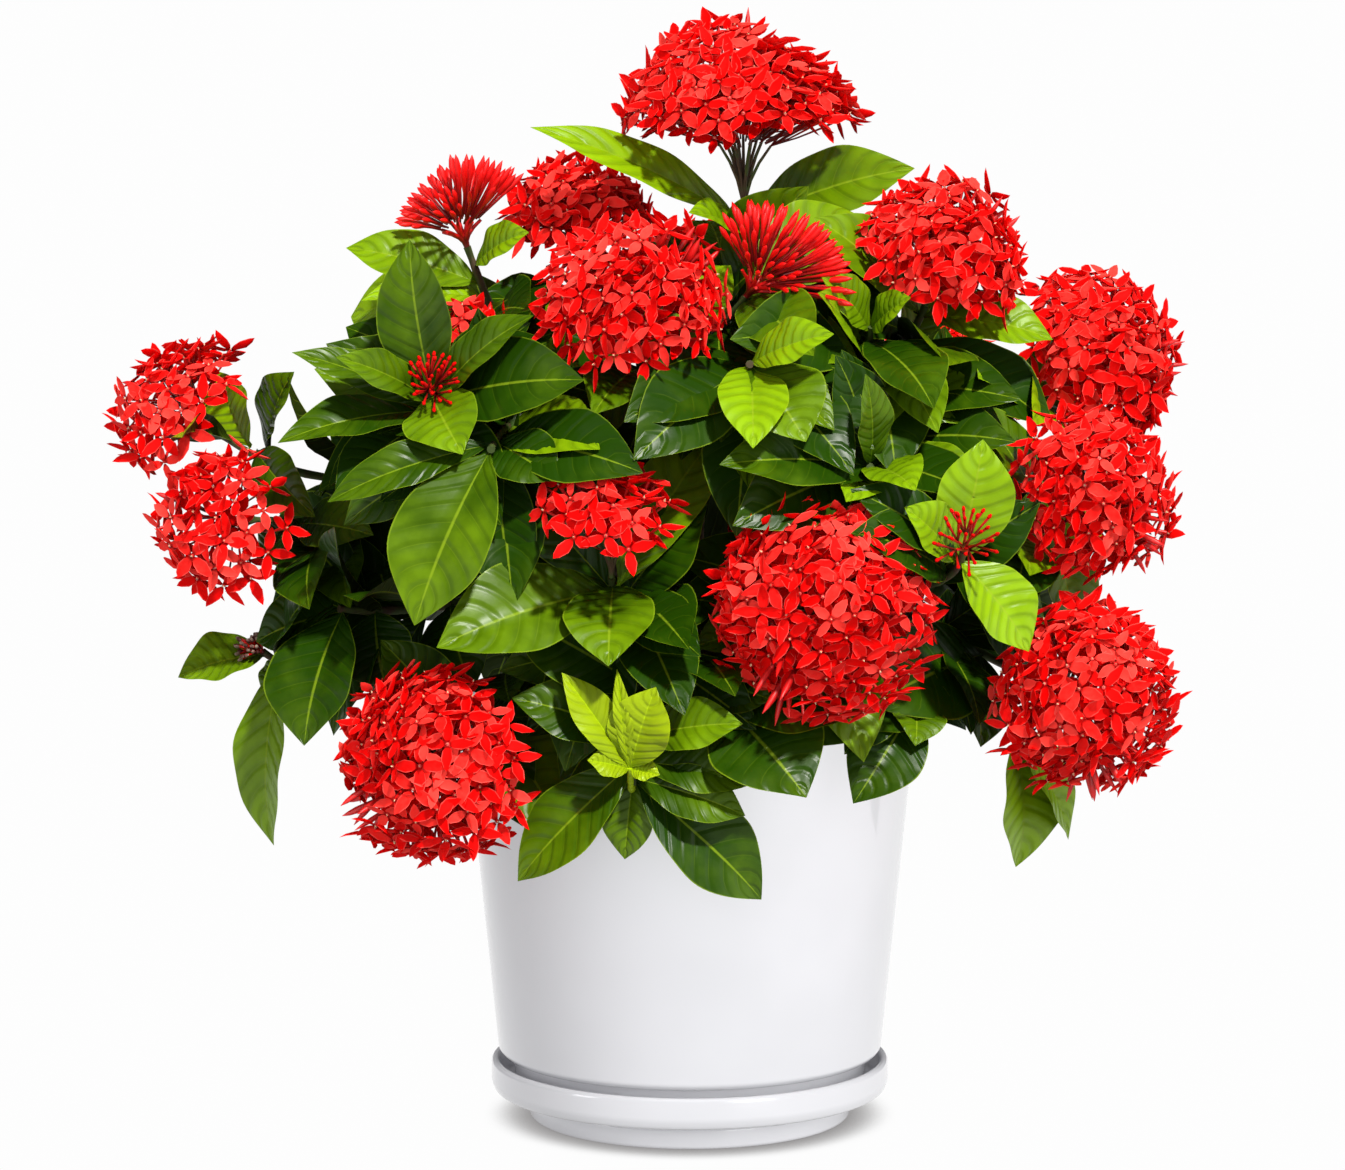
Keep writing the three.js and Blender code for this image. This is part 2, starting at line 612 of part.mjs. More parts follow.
// A dome of florets. The core's faces are cut by `rings` belts of equal area below one face at
// the pole, each belt turned half a step from the one above, and every face grows a floret.
function flowerHead({ at, facing, radius, cap, rings, sparse }) {
  const centre = vector(at);
  const axis = vector(facing).normalize();
  const girth = radius * (sparse ? CORE.sparseGirth : CORE.girth);
  const reach = FLORET.reach + FLORET.reachByHead * radius;
  const depth = (1 - Math.cos(THREE.MathUtils.degToRad(cap))) / (1 + CORE.sides * rings);
  const points = [];
  const faces = [];
  for (let ring = 0; ring <= rings; ring += 1) {
    const polar = Math.acos(1 - depth * (1 + CORE.sides * ring));
    for (let side = 0; side < CORE.sides; side += 1) {
      const turn = ((2 * Math.PI) / CORE.sides) * (side + ring * 0.5);
      points.push(leaning(axis, polar, turn).multiplyScalar(girth).add(centre));
    }
  }
  const foot = points.length;
  for (let side = 0; side < CORE.sides; side += 1) {
    const turn = ((2 * Math.PI) / CORE.sides) * (side + (rings + 1) * 0.5);
    points.push(leaning(axis, Math.PI / 2, turn).multiplyScalar(TWIG.radiusAtTip)
      .addScaledVector(axis, -CORE.stalk * radius).add(centre));
  }
  const beds = [[0, 1, 2, 3]];
  for (let ring = 0; ring <= rings; ring += 1) {
    for (let side = 0; side < CORE.sides; side += 1) {
      const [above, next] = [side, (side + 1) % CORE.sides].map((k) => ring * CORE.sides + k);
      const [below, belowNext] = [above, next].map((k) => k + CORE.sides);
      if (ring < rings) {
        beds.push([above, below, belowNext, next]);
      } else {
        faces.push([above, below, next], [below, belowNext, next]);
      }
    }
  }
  faces.push([foot, foot + 2, foot + 1], [foot, foot + 3, foot + 2]);
  beds.forEach((corners, i) => {
    const outward = new THREE.Vector3();
    for (const corner of corners) outward.add(points[corner].clone().sub(centre));
    outward.normalize();
    const lift = radius * (i % 2 === 0 ? 1 : FLORET.lowerLift);
    const mouth = centre.clone().addScaledVector(outward, lift);
    growFloret(points, faces, corners, mouth, outward, reach);
  });
  return solid(points, faces);
}

function budCluster({ at, facing, radius, cap, count, kind }) {
  const foot = vector(at);
  const axis = vector(facing).normalize();
  const core = coreSolid(foot, axis, [
    [0, TWIG.radiusAtTip], [radius * BUD_CORE.height, radius * BUD_CORE.girth],
    [radius * BUD_CORE.top, 0],
  ]);
  const root = foot.clone().addScaledVector(axis, radius * BUD.root);
  const buds = spiralDirections(axis, cap, count).map((direction, i) => {
    const reach = radius * (BUD.shortest + BUD.longer * scatter(i, 1));
    const tip = root.clone().addScaledVector(direction, reach);
    return budSolid(root, tip, kind === "buds" ? BUD.radius : BUD.spentRadius);
  });
  return join([core, ...buds]);
}

// ---------------------------------------------------------------------- pot, saucer, soil

function saucerProfile() {
  const { footRadius, footHeight, rimRadius, height, wall, floor, edge, heel } = SAUCER;
  return [
    [0, 0], [footRadius - edge, 0], [footRadius, edge], [footRadius, footHeight],
    [rimRadius - 2 * edge, footHeight + edge], [rimRadius, footHeight + heel],
    [rimRadius, height - edge], [rimRadius - edge, height], [rimRadius - wall + 1, height],
    [rimRadius - wall, height - edge], [rimRadius - wall - 1, floor + 2],
    [rimRadius - wall - 2 * edge, floor], [0, floor],
  ];
}

// The inside of the pot's wall at a height.
function potInside(height) {
  const share = (height - POT.shoulder) / (POT.top - POT.shoulder);
  return POT.baseRadius + (POT.rimRadius - POT.baseRadius) * share - POT.wall;
}

function potProfile() {
  const { footRadius, baseRadius, rimRadius, shoulder, top, wall, floor, inside, edge } = POT;
  const stand = SAUCER.floor + GAP;
  const raised = stand + POT.ringHeight;
  return [
    [POT.holeRadius, raised], [footRadius - POT.ringWidth - 2 * edge, raised],
    [footRadius - POT.ringWidth, stand], [footRadius - edge, stand], [footRadius, stand + edge],
    [footRadius, shoulder - edge], [baseRadius - 1.5 * edge, shoulder - 0.5 * edge],
    [baseRadius, shoulder + 1.5 * edge], [rimRadius, top - 2 * edge], [rimRadius - edge, top],
    [rimRadius - wall + edge, top], [potInside(top - 2 * edge), top - 2 * edge],
    [potInside(inside), inside], [footRadius - wall, floor + edge], [POT.holeRadius, floor],
    [POT.holeRadius, raised],
  ];
}

function soilProfile() {
  const { top, crown, crownRadius, socketRadius, socketDepth, gap } = SOIL;
  const { footRadius, wall, floor, inside } = POT;
  return [
    [0, floor + gap], [footRadius - wall - 2 * gap, floor + POT.edge + gap],
    [potInside(inside) - gap, inside + gap], [potInside(top) - gap, top],
    [crownRadius, crown], [socketRadius, crown], [socketRadius, crown - socketDepth],
    [0, crown - socketDepth],
  ];
}

// -------------------------------------------------------------------------------- growing

const trunkLine = new THREE.QuadraticBezierCurve3(
  vector([0, 0, SOIL.crown - SOIL.socketDepth + GAP]),
  vector([0.5, 0, SOIL.crown]),
  vector([0, 0, TRUNK.top]),
);

// Each head, bud cluster or spent cluster, and the point and direction where its shoot ends.
const tops = SHOOTS.map((shoot) => {
  const axis = vector(shoot.facing).normalize();
  const at = vector(shoot.at);
  if (shoot.kind === "leafy") return { end: at, axis };
  if (shoot.kind === "head") {
    const end = at.addScaledVector(axis, -CORE.stalk * shoot.radius - GAP);
    return { end, axis, shape: flowerHead(shoot) };
  }
  return { end: at.addScaledVector(axis, -GAP), axis, shape: budCluster(shoot) };
});

const curves = SHOOTS.map(({ fork }, i) => (
  stemCurve(vector(FORKS[fork]), tops[i].end, tops[i].axis)
));

function woodyStems() {
  const trunk = tube(trunkLine, 0, 1, TRUNK.radiusAtSoil, TRUNK.radiusAtTop, TRUNK);
  const limbs = Object.values(FORKS).map((place) => {
    const fork = vector(place);
    const start = vector([0, 0, TRUNK.top - TRUNK.overlap]);
    const middle = vector([
      fork.x * LIMB.spread, fork.y * LIMB.spread, TRUNK.top + (fork.z - TRUNK.top) * LIMB.rise,
    ]);
    const line = new THREE.QuadraticBezierCurve3(start, middle, fork);
    return tube(line, 0, 1, LIMB.radiusAtTrunk, LIMB.radiusAtFork, LIMB);
  });
  const branches = curves.map((curve) => (
    tube(curve, 0, WOODY_SHARE, BRANCH.radiusAtFork, BRANCH.radiusAtShoot, BRANCH)
  ));
  return join([trunk, ...limbs, ...branches]);
}

const saucer = turned(saucerProfile());
const pot = turned(potProfile());
const soil = turned(soilProfile());
const stems = woodyStems();

const twigs = curves.map((curve) => {
  const start = WOODY_SHARE + GAP / curve.getLength();
  return tube(curve, start, 1, TWIG.radiusAtBranch, TWIG.radiusAtTip, TWIG);
});

const youngStem = (() => {
  const { end, axis } = tops[SHOOTS.findIndex(({ name }) => name === YOUNG_SHOOT.carrier)];
  const start = end.clone().addScaledVector(axis, GAP);
  const turn = start.clone().addScaledVector(axis, YOUNG_SHOOT.droop);
  return new THREE.QuadraticBezierCurve3(start, turn, vector(YOUNG_SHOOT.tip));
})();
const youngTwig = tube(youngStem, 0, 1, TWIG.radiusAtTip, YOUNG_SHOOT.radius, YOUNG_SHOOT);

// What a leaf has to stay clear of, with the node that each solid belongs to.
const standing = [
  { owner: "saucer", shape: solidOfGeometry(saucer) },
  { owner: "pot", shape: solidOfGeometry(pot) },
  { owner: "soil", shape: solidOfGeometry(soil) },
  { owner: "woody_stems", shape: stems },
  ...SHOOTS.map(({ name }, i) => ({ owner: `shoot_${name}`, shape: twigs[i] })),
  ...SHOOTS.map(({ name }, i) => ({ owner: `head_${name}`, shape: tops[i].shape })),
  { owner: "shoot_young", shape: youngTwig },
].filter(({ shape }) => shape);
for (const item of standing) item.box = item.shape.boundingBox();

function boxesMeet(a, b) {
  return [0, 1, 2].every((k) => a.min[k] < b.max[k] && b.min[k] < a.max[k]);
}

function isClear(shape, owner) {
  const box = shape.boundingBox();
  return !standing.some((item) => (
    item.owner !== owner && boxesMeet(box, item.box) && !item.shape.intersect(shape).isEmpty()
  ));
}

// The first bend of a leaf that leaves it clear of every other node, or nothing.
function placedLeaf({ base, tip, width }, owner) {
  for (const bend of LEAF_BENDS) {
    const bent = bentTip(base, tip, bend);
    const size = width * bend[2];
    if (isClear(leafSolid(base, bent, size, LEAF_CLEARANCE), owner)) {
      return leafSolid(base, bent, size);
    }
  }
  return null;
}

function leafyShoot(owner, twig, wanted) {
  const leaves = [];
  for (const leaf of wanted) {
    const shape = placedLeaf(leaf, owner);
    if (shape) {
      leaves.push(shape);
      standing.push({ owner, shape, box: shape.boundingBox() });
    }
  }
  return join([twig, ...leaves]);
}

// -------------------------------------------------------------------------------- the part

const part = new THREE.Group();

function addPiece(name, geometry, colour) {
  const material = new THREE.MeshStandardMaterial({ ...colour, metalness: 0 });
  const mesh = new THREE.Mesh(geometry, material);
  mesh.name = name;
  part.add(mesh);
}

addPiece("saucer", saucer, COLOURS.glaze);
addPiece("pot", pot, COLOURS.glaze);
addPiece("soil", soil, COLOURS.soil);
addPiece("woody_stems", geometryOf(stems), COLOURS.bark);

const youngLeaves = YOUNG_SHOOT.leaves.map(([x, y, z, width]) => (
  { base: youngStem.getPoint(0.97), tip: vector([x, y, z]), width }
));
const youngShoot = leafyShoot("shoot_young", youngTwig, youngLeaves);
addPiece("shoot_young", geometryOf(youngShoot), COLOURS.newGrowth);

SHOOTS.forEach((shoot, i) => {
  const owner = `shoot_${shoot.name}`;
  const grown = leafyShoot(owner, twigs[i], wantedLeaves(shoot, curves[i], i));
  addPiece(owner, geometryOf(grown), COLOURS.foliage);
  if (tops[i].shape) {
    const colour = shoot.kind === "head" ? COLOURS.petal : COLOURS.bud;
    addPiece(`head_${shoot.name}`, geometryOf(tops[i].shape), colour);
  }
});

export default part;
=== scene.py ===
"""Potted ixora: a flowering shrub in a glazed pot on its saucer, finished over its CAD frame.

The shrub's layout is in millimetres, in the frame of the CAD solids: +Z is up, the front looks
along -Y and the origin is the centre of the saucer's foot. Meshes are written in metres.
"""

import math
from collections import namedtuple

import bpy
import numpy as np
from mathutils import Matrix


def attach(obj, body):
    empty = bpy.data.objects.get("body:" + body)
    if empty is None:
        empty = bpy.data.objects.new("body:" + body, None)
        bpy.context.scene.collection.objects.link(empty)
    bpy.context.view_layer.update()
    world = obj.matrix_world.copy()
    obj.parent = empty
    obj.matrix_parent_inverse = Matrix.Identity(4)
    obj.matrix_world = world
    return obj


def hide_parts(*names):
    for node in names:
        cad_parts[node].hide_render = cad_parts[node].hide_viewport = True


bl_info = {
    "name": "Potted Ixora",
    "version": (1, 0, 0),
    "blender": (4, 5, 0),
    "location": "3D View > Sidebar > Ixora",
    "description": "Finishes a potted ixora with fine leaves, florets, buds, stems, soil and glaze",
    "category": "Add Mesh",
}

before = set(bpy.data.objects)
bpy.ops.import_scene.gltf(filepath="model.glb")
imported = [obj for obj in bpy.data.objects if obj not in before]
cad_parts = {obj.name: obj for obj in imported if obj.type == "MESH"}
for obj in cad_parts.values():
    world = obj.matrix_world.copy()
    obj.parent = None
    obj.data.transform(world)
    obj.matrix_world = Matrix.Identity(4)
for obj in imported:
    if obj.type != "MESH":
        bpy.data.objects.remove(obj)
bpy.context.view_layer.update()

UP = np.array([0.0, 0.0, 1.0])
GOLDEN_ANGLE = math.pi * (3 - math.sqrt(5))
TO_METRES = 0.001

# ------------------------------------------------------------------ layout shared with the CAD

GAP = 0.3
SOIL_CROWN = 205
SOCKET_DEPTH = 50
TRUNK_TOP = 236
WOODY_SHARE = 0.32
TWIG_STEPS = 2
STALK_SHARE = 0.45
LEAF_LENGTH = 82
LEAF_ARCH = 0.07
LEAF_FOLD = 0.24
PAIR_WIDTH = 0.5
# A leaf of the CAD solid is found by its tip, to within this many millimetres.
TIP_MATCH = 0.2

FORKS = {
    "crown": (0, 5, 385),
    "leftHigh": (-70, 5, 350),
    "leftLow": (-80, -35, 275),
    "front": (-10, -60, 285),
    "rightHigh": (75, 0, 360),
    "rightLow": (80, -40, 275),
    "backHigh": (5, 75, 335),
    "backLow": (5, 70, 270),
}

Shoot = namedtuple(
    "Shoot", "name fork kind at facing radius cap sparse pairs leaves",
    defaults=(0, 0, False, (), ()),
)
# Every shoot: the fork it grows from, what ends it, where and which way, and its own leaves,
# each as place along the shoot, x, y, z of the tip, width and tone from deep to bright green. A
# leaf's tone is partly its own colour and partly painted light and shade: brighter where light
# falls on it, deeper where it stands in shade.
SHOOTS = [
    Shoot("top", "crown", "head", (27, 8, 487), (0, -0.06, 1), radius=68, cap=80, pairs=(0.5,),
        leaves=((0.95, -78, -30, 502, 28, 0.8), (0.95, 110, -20, 482, 36, 0.5),
            (0.85, 0, -48, 461, 22, 0.65)),
    ),
    Shoot("crown_left", "crown", "head", (-55, 34, 444), (-0.1, -0.2, 1), radius=41, cap=90,
        pairs=(0.66,)),
    Shoot("front_high", "crown", "head", (-26, -92, 408), (-0.05, -0.62, 0.78), radius=52,
        cap=82, pairs=(0.7, 0.94)),
    Shoot("right_high", "rightHigh", "head", (122, -40, 431), (0.3, -0.45, 0.85), radius=45,
        cap=94, pairs=(0.62, 0.92)),
    Shoot("right_upper", "rightHigh", "head", (198, 20, 377), (0.7, -0.5, 0.5), radius=50,
        cap=98, pairs=(0.66, 0.92),
        leaves=((0.6, 171, -60, 397, 32, 0.8), (0.9, 233, 20, 347, 36, 0.25)),
    ),
    Shoot("right_middle", "rightLow", "head", (192, -60, 320), (0.55, -0.8, 0.3), radius=44,
        cap=98, pairs=(0.42, 0.64, 0.9)),
    Shoot("right_low", "rightLow", "head", (187, -64, 226), (0.5, -0.85, -0.1), radius=51,
        cap=98,
        leaves=((0.6, 76, -95, 217, 54, 0.08), (0.5, 138, -50, 193, 40, 0.15)),
    ),
    Shoot("front_right", "rightLow", "head", (60, -120, 275), (0.05, -0.9, 0.3), radius=57,
        cap=98, pairs=(0.66,)),
    Shoot("front_left", "leftLow", "head", (-121, -120, 204), (-0.42, -0.85, -0.15), radius=51,
        cap=98, pairs=(0.66,),
        leaves=((0.92, -150, -96, 256, 34, 0.15),),
    ),
    Shoot("far_left", "leftHigh", "head", (-246, -15, 358), (-0.7, -0.4, 0.6), radius=40, cap=95,
        sparse=True, pairs=(0.42,),
        leaves=((0.97, -273, -72, 336, 20, 0.7), (0.84, -198, -15, 380, 36, 0.3),
            (0.9, -237, 8, 378, 34, 0.95), (0.88, -185, -62, 313, 28, 0.25)),
    ),
    Shoot("left_middle", "leftLow", "head", (-222, -60, 311), (-0.6, -0.75, 0.1), radius=39,
        cap=98, sparse=True,
        leaves=((0.84, -155, -80, 306, 30, 0.25), (0.6, -166, -85, 271, 30, 0.3),
            (0.5, -148, -60, 271, 36, 0.08), (0.88, -216, -30, 287, 30, 0.15)),
    ),
    Shoot("front_middle", "front", "head", (-38, -128, 306), (0, -0.5, 0.85), radius=42, cap=72,
        sparse=True,
        leaves=((0.9, -39, -166, 254, 44, 0.4), (0.8, -5, -112, 375, 37, 0.55),
            (0.82, -122, -142, 251, 48, 0.4), (0.7, -90, -112, 368, 36, 0.2),
            (0.6, 7, -112, 324, 44, 0.1), (0.4, 15, -100, 278, 44, 0.05)),
    ),
    Shoot("left_inner", "leftHigh", "head", (-104, -53, 387), (-0.1, -0.6, 0.75), radius=29,
        cap=95, sparse=True, pairs=(0.86,)),
    Shoot("back_left", "backHigh", "head", (-95, 118, 366), (-0.45, 0.75, 0.5), radius=46,
        cap=98, pairs=(0.6, 0.78, 0.94)),
    Shoot("back_middle", "backHigh", "head", (15, 140, 398), (0, 0.75, 0.65), radius=50, cap=98,
        pairs=(0.44, 0.64, 0.9)),
    Shoot("back_right", "backHigh", "head", (125, 112, 352), (0.55, 0.75, 0.4), radius=46,
        cap=98, pairs=(0.58, 0.75, 0.94)),
    Shoot("back_low", "backLow", "head", (35, 160, 262), (0.1, 1, 0.1), radius=48, cap=98,
        pairs=(0.42, 0.64, 0.88)),
    Shoot("left_crown", "leftHigh", "buds", (-111, -10, 442), (-0.35, -0.1, 1), radius=50,
        cap=56, pairs=(0.7,),
        leaves=((0.8, -171, -8, 442, 32, 0.6), (0.9, -80, -44, 451, 22, 0.75),
            (0.72, -162, -34, 417, 26, 0.9)),
    ),
    Shoot("front_crown", "crown", "buds", (27, -70, 421), (0.6, -0.35, 0.8), radius=57, cap=52,
        pairs=(0.72, 0.95)),
    Shoot("left_upper", "leftHigh", "spent", (-125, -100, 377), (0.1, -0.85, 0.6), radius=24,
        cap=50, pairs=(0.66,),
        leaves=((0.84, -136, -84, 449, 40, 0.3), (0.97, -113, -146, 359, 38, 0.5),
            (0.9, -76, -128, 416, 28, 0.3), (0.88, -168, -125, 396, 20, 0.35),
            (0.82, -190, -105, 397, 22, 0.3), (0.8, -197, -116, 355, 30, 0.2)),
    ),
    Shoot("right_front", "rightLow", "spent", (130, -125, 303), (0, -0.85, 0.55), radius=29,
        cap=50,
        leaves=((0.82, 140, -112, 355, 40, 0.75), (0.9, 163, -118, 254, 38, 0.85),
            (0.86, 102, -134, 325, 28, 0.7)),
    ),
    Shoot("left_low", "leftLow", "spent", (-212, -42, 243), (-0.5, -0.5, 0.5), radius=13, cap=50,
        leaves=((0.9, -209, -50, 147, 44, 0.65), (0.97, -254, -44, 231, 36, 0.5),
            (0.84, -213, -30, 216, 28, 0.4)),
    ),
    Shoot("front_low", "front", "leafy", (-28, -133, 191), (-0.1, -0.25, -0.96),
        leaves=((0.9, -84, -124, 143, 38, 0.35), (0.9, -33, -134, 154, 26, 0.45),
            (0.98, 35, -124, 134, 40, 0.18), (0.97, 26, -140, 178, 28, 0.3),
            (0.9, 31, -136, 193, 26, 0.3), (0.8, 24, -144, 223, 28, 0.5),
            (0.8, -85, -136, 234, 32, 0.15), (0.6, -76, -142, 279, 44, 0.1)),
    ),
    Shoot("front_rim", "front", "leafy", (16, -112, 226), (0.3, -0.8, -0.3), pairs=(0.6,),
        leaves=((0.96, 55, -138, 181, 60, 0.1), (0.9, 80, -138, 215, 46, 0.12),
            (0.6, -20, -116, 251, 34, 0.2), (0.8, 38, -128, 232, 34, 0.1)),
    ),
    Shoot("left_front", "leftHigh", "leafy", (-95, -130, 352), (-0.1, -0.8, -0.2), pairs=(0.62,),
        leaves=((0.97, -131, -152, 271, 52, 0.4), (0.92, -172, -146, 338, 24, 0.25),
            (0.9, -63, -146, 339, 32, 0.1), (0.85, -168, -104, 314, 34, 0.15)),
    ),
    Shoot("centre_right", "crown", "leafy", (28, -122, 392), (-0.15, -0.95, 0.1), pairs=(0.6,),
        leaves=((0.97, 66, -150, 409, 24, 0.85), (0.92, 29, -165, 357, 34, 0.8),
            (0.95, 54, -150, 358, 46, 0.45), (0.8, 68, -128, 362, 28, 0.3)),
    ),
    Shoot("right_inner", "rightHigh", "leafy", (86, -112, 342), (0, -0.9, 0.2), pairs=(0.62,),
        leaves=((0.97, 83, -138, 388, 22, 0.35), (0.95, 14, -156, 348, 36, 0.15),
            (0.9, 106, -142, 335, 30, 0.6), (0.8, 74, -140, 329, 30, 0.65)),
    ),
    Shoot("right_crown", "rightHigh", "leafy", (88, -66, 406), (0.1, -0.5, 0.85),
        pairs=(0.56, 0.78),
        leaves=((0.97, 121, -78, 417, 24, 0.6), (0.95, 54, -80, 428, 22, 0.6),
            (0.88, 141, -112, 386, 38, 0.15), (0.84, 118, -120, 360, 34, 0.4)),
    ),
    Shoot("left_skirt", "leftLow", "leafy", (-172, -70, 268), (-0.8, -0.5, 0.15),
        leaves=((0.97, -188, -98, 205, 52, 0.15), (0.9, -215, -52, 250, 34, 0.1),
            (0.97, -197, -42, 273, 30, 0.15), (0.8, -149, -78, 229, 42, 0.05),
            (0.72, -177, -60, 204, 38, 0.1), (0.6, -170, -48, 289, 40, 0.05)),
    ),
    Shoot("right_skirt", "rightLow", "leafy", (164, -14, 197), (0.4, 0.3, -0.85),
        leaves=((0.97, 166, -18, 130, 52, 0.95), (0.9, 193, -4, 142, 34, 0.8)),
    ),
    Shoot("right_rim", "rightLow", "leafy", (112, -82, 224), (0.5, -0.7, -0.3),
        leaves=((0.97, 79, -112, 179, 38, 0.1), (0.8, 91, -122, 231, 42, 0.12),
            (0.92, 109, -108, 207, 28, 0.3)),
    ),
    Shoot("back_skirt_left", "backLow", "leafy", (-110, 110, 258), (-0.6, 0.6, -0.1),
        pairs=(0.56, 0.7, 0.84, 0.98),
        leaves=((0.5, -36, 152, 214, 46, 0.3), (0.66, -66, 150, 304, 40, 0.5),
            (0.42, -10, 132, 330, 40, 0.4)),
    ),
    Shoot("back_skirt_right", "backLow", "leafy", (140, 85, 262), (0.8, 0.5, -0.1),
        pairs=(0.56, 0.7, 0.84, 0.98)),
]

# The soft new growth at the end of the lowest front shoot: how far its twig runs on before it
# bends, the twig's tip, the place of its leaves, and x, y, z of each leaf's tip and its width.
YOUNG_CARRIER = "front_low"
YOUNG_DROOP = 6
YOUNG_TIP = (-29, -142, 201)
YOUNG_PLACE = 0.97
YOUNG_SALT = 3
YOUNG_LEAVES = (
    (-61, -145, 247, 21),
    (-35, -150, 249, 9),
    (-17, -152, 241, 32),
    (-49, -150, 206, 16),
    (-15, -150, 199, 12),
)

# Ways in which a leaf may be bent clear of its neighbours: degrees raised and swung, share kept.
BENDS = (
    (0, 0, 1), (-10, 0, 1), (10, 0, 1), (0, 12, 1), (0, -12, 1), (-18, 0, 1), (18, 0, 1),
    (-18, 10, 1), (-18, -10, 1), (18, 10, 1), (18, -10, 1), (0, 24, 1), (0, -24, 1),
    (-30, 0, 0.9), (30, 0, 0.9), (0, 0, 0.8), (14, 14, 0.8), (-14, -14, 0.8), (14, -14, 0.8),
    (-14, 14, 0.8), (38, 20, 0.8), (-38, -20, 0.8), (38, -20, 0.8), (-38, 20, 0.8), (0, 0, 0.65),
    (24, 24, 0.65), (-24, -24, 0.65), (24, -24, 0.65), (-24, 24, 0.65), (0, 40, 0.65),
    (0, -40, 0.65),
)

# ------------------------------------------------------------------------------ settings


def length_setting(name, description, default, low, high):
    """A size in metres."""
    return bpy.props.FloatProperty(
        name=name, description=description, default=default, min=low, max=high, unit="LENGTH",
        subtype="DISTANCE",
    )


def count_setting(name, description, default, low, high):
    """A number of things."""
    return bpy.props.IntProperty(
        name=name, description=description, default=default, min=low, max=high,
    )


def colour_setting(name, description, default):
    """A linear colour."""
    return bpy.props.FloatVectorProperty(
        name=name, description=description, default=default, min=0.0, max=1.0, subtype="COLOR",
    )


class IxoraSizes(bpy.types.PropertyGroup):
    """Sizes of the fine pieces, in metres, and how many there are."""

    floret_radius: length_setting(
        "Floret radius", "From the throat of a floret to the tip of a petal", 0.0136, 0.008, 0.016
    )
    floret_spacing: length_setting(
        "Floret spacing", "Distance between neighbouring florets on a full head",
        0.0128, 0.01, 0.03,
    )
    bud_radius: length_setting(
        "Bud radius", "Half thickness of a closed bud at its widest", 0.0016, 0.0008, 0.003
    )
    buds: count_setting("Buds", "Number of buds in a full cluster", 80, 20, 120)
    quilting: length_setting(
        "Quilting", "How far a leaf swells between its side veins", 0.0011, 0.0, 0.002
    )
    inner_leaves: count_setting(
        "Inner leaves", "Most leaves that fill the inside of the crown", 400, 0, 600
    )


class IxoraColours(bpy.types.PropertyGroup):
    """Colours of the finishes."""

    glaze: colour_setting("Glaze", "White glaze of the pot and saucer", (0.80, 0.80, 0.83))
    # The leaves run between the deep and the bright green by their tone, which also carries painted
    # light and shade.
    leaf_deep: colour_setting("Deep leaf", "Darkest full-grown leaf", (0.015, 0.054, 0.0003))
    leaf_bright: colour_setting(
        "Bright leaf", "Brightest full-grown leaf", (0.300, 0.520, 0.002)
    )
    leaf_vein: colour_setting(
        "Vein", "Midrib, side veins and margin of a leaf", (0.300, 0.440, 0.015)
    )
    leaf_under: colour_setting("Underside", "Dull underside of a leaf", (0.055, 0.100, 0.003))
    new_growth: colour_setting(
        "New growth", "Young leaves at the end of the lowest shoot", (0.400, 0.560, 0.004)
    )
    petal: colour_setting("Petal", "Open petals", (0.840, 0.004, 0.0035))
    # The paler edge of a petal is partly a painted highlight where the thin margin catches the
    # light.
    petal_margin: colour_setting(
        "Petal margin", "Thin paler edge of a petal", (0.940, 0.150, 0.125)
    )
    tube: colour_setting(
        "Tube", "Floret tubes, stalks and the foot of the buds", (0.150, 0.001, 0.001)
    )
    anther: colour_setting(
        "Anther", "Small pale point in the throat of a floret", (0.850, 0.600, 0.350)
    )
    bark: colour_setting("Bark", "Woody stems", (0.080, 0.045, 0.022))
    soil: colour_setting("Soil", "Damp potting soil", (0.035, 0.020, 0.011))


# ----------------------------------------------------------------------------- materials

# What a mesh carries: its own map, and for each face its tone, which on leaves and on shaded
# florets carries painted light and shade as well as random tone, and whether it lies underneath.
MAP = "Surface"
TONE_AND_PAINTED_LIGHT = "tone"
BELOW = "below"

PALE_FLECK = (0.22, 0.16, 0.10)
DARK_CRACK = (0.02, 0.012, 0.006)
GREEN_SKIN = (0.060, 0.095, 0.015)
# Painted sheen: the paler red that the brightest petals turn to.
LIT_PETAL = (0.95, 0.055, 0.042)
DRY_BROWN = (0.10, 0.012, 0.010)
DRY_PALE = (0.55, 0.42, 0.32)

# A leaf's pairs of side veins, and how far they lean to the tip: by the share across, and by
# its square.
VEIN_PAIRS = 9
VEIN_LEAN = 0.13
VEIN_CURVE = 0.05


class Socket:
    """An output in a shader tree. Arithmetic on it adds Math nodes."""

    def __init__(self, shader, socket):
        self.shader = shader
        self.socket = socket

    def math(self, operation, *values):
        inputs = dict(enumerate(values))
        return self.shader.node("ShaderNodeMath", {"operation": operation}, inputs)

    def __add__(self, other):
        return self.math("ADD", self, other)

    def __sub__(self, other):
        return self.math("SUBTRACT", self, other)

    def __rsub__(self, other):
        return self.math("SUBTRACT", other, self)

    def __mul__(self, other):
        return self.math("MULTIPLY", self, other)

    __radd__ = __add__
    __rmul__ = __mul__

    def __abs__(self):
        return self.math("ABSOLUTE", self)

    def fraction(self):
        return self.math("FRACT", self)

    def smaller(self, other):
        return self.math("MINIMUM", self, other)

    def ramp(self, low, high):
        """0 below low, 1 above high and smooth between them."""
        settings = {"interpolation_type": "SMOOTHSTEP"}
        inputs = {"Value": self, "From Min": low, "From Max": high}
        return self.shader.node("ShaderNodeMapRange", settings, inputs)


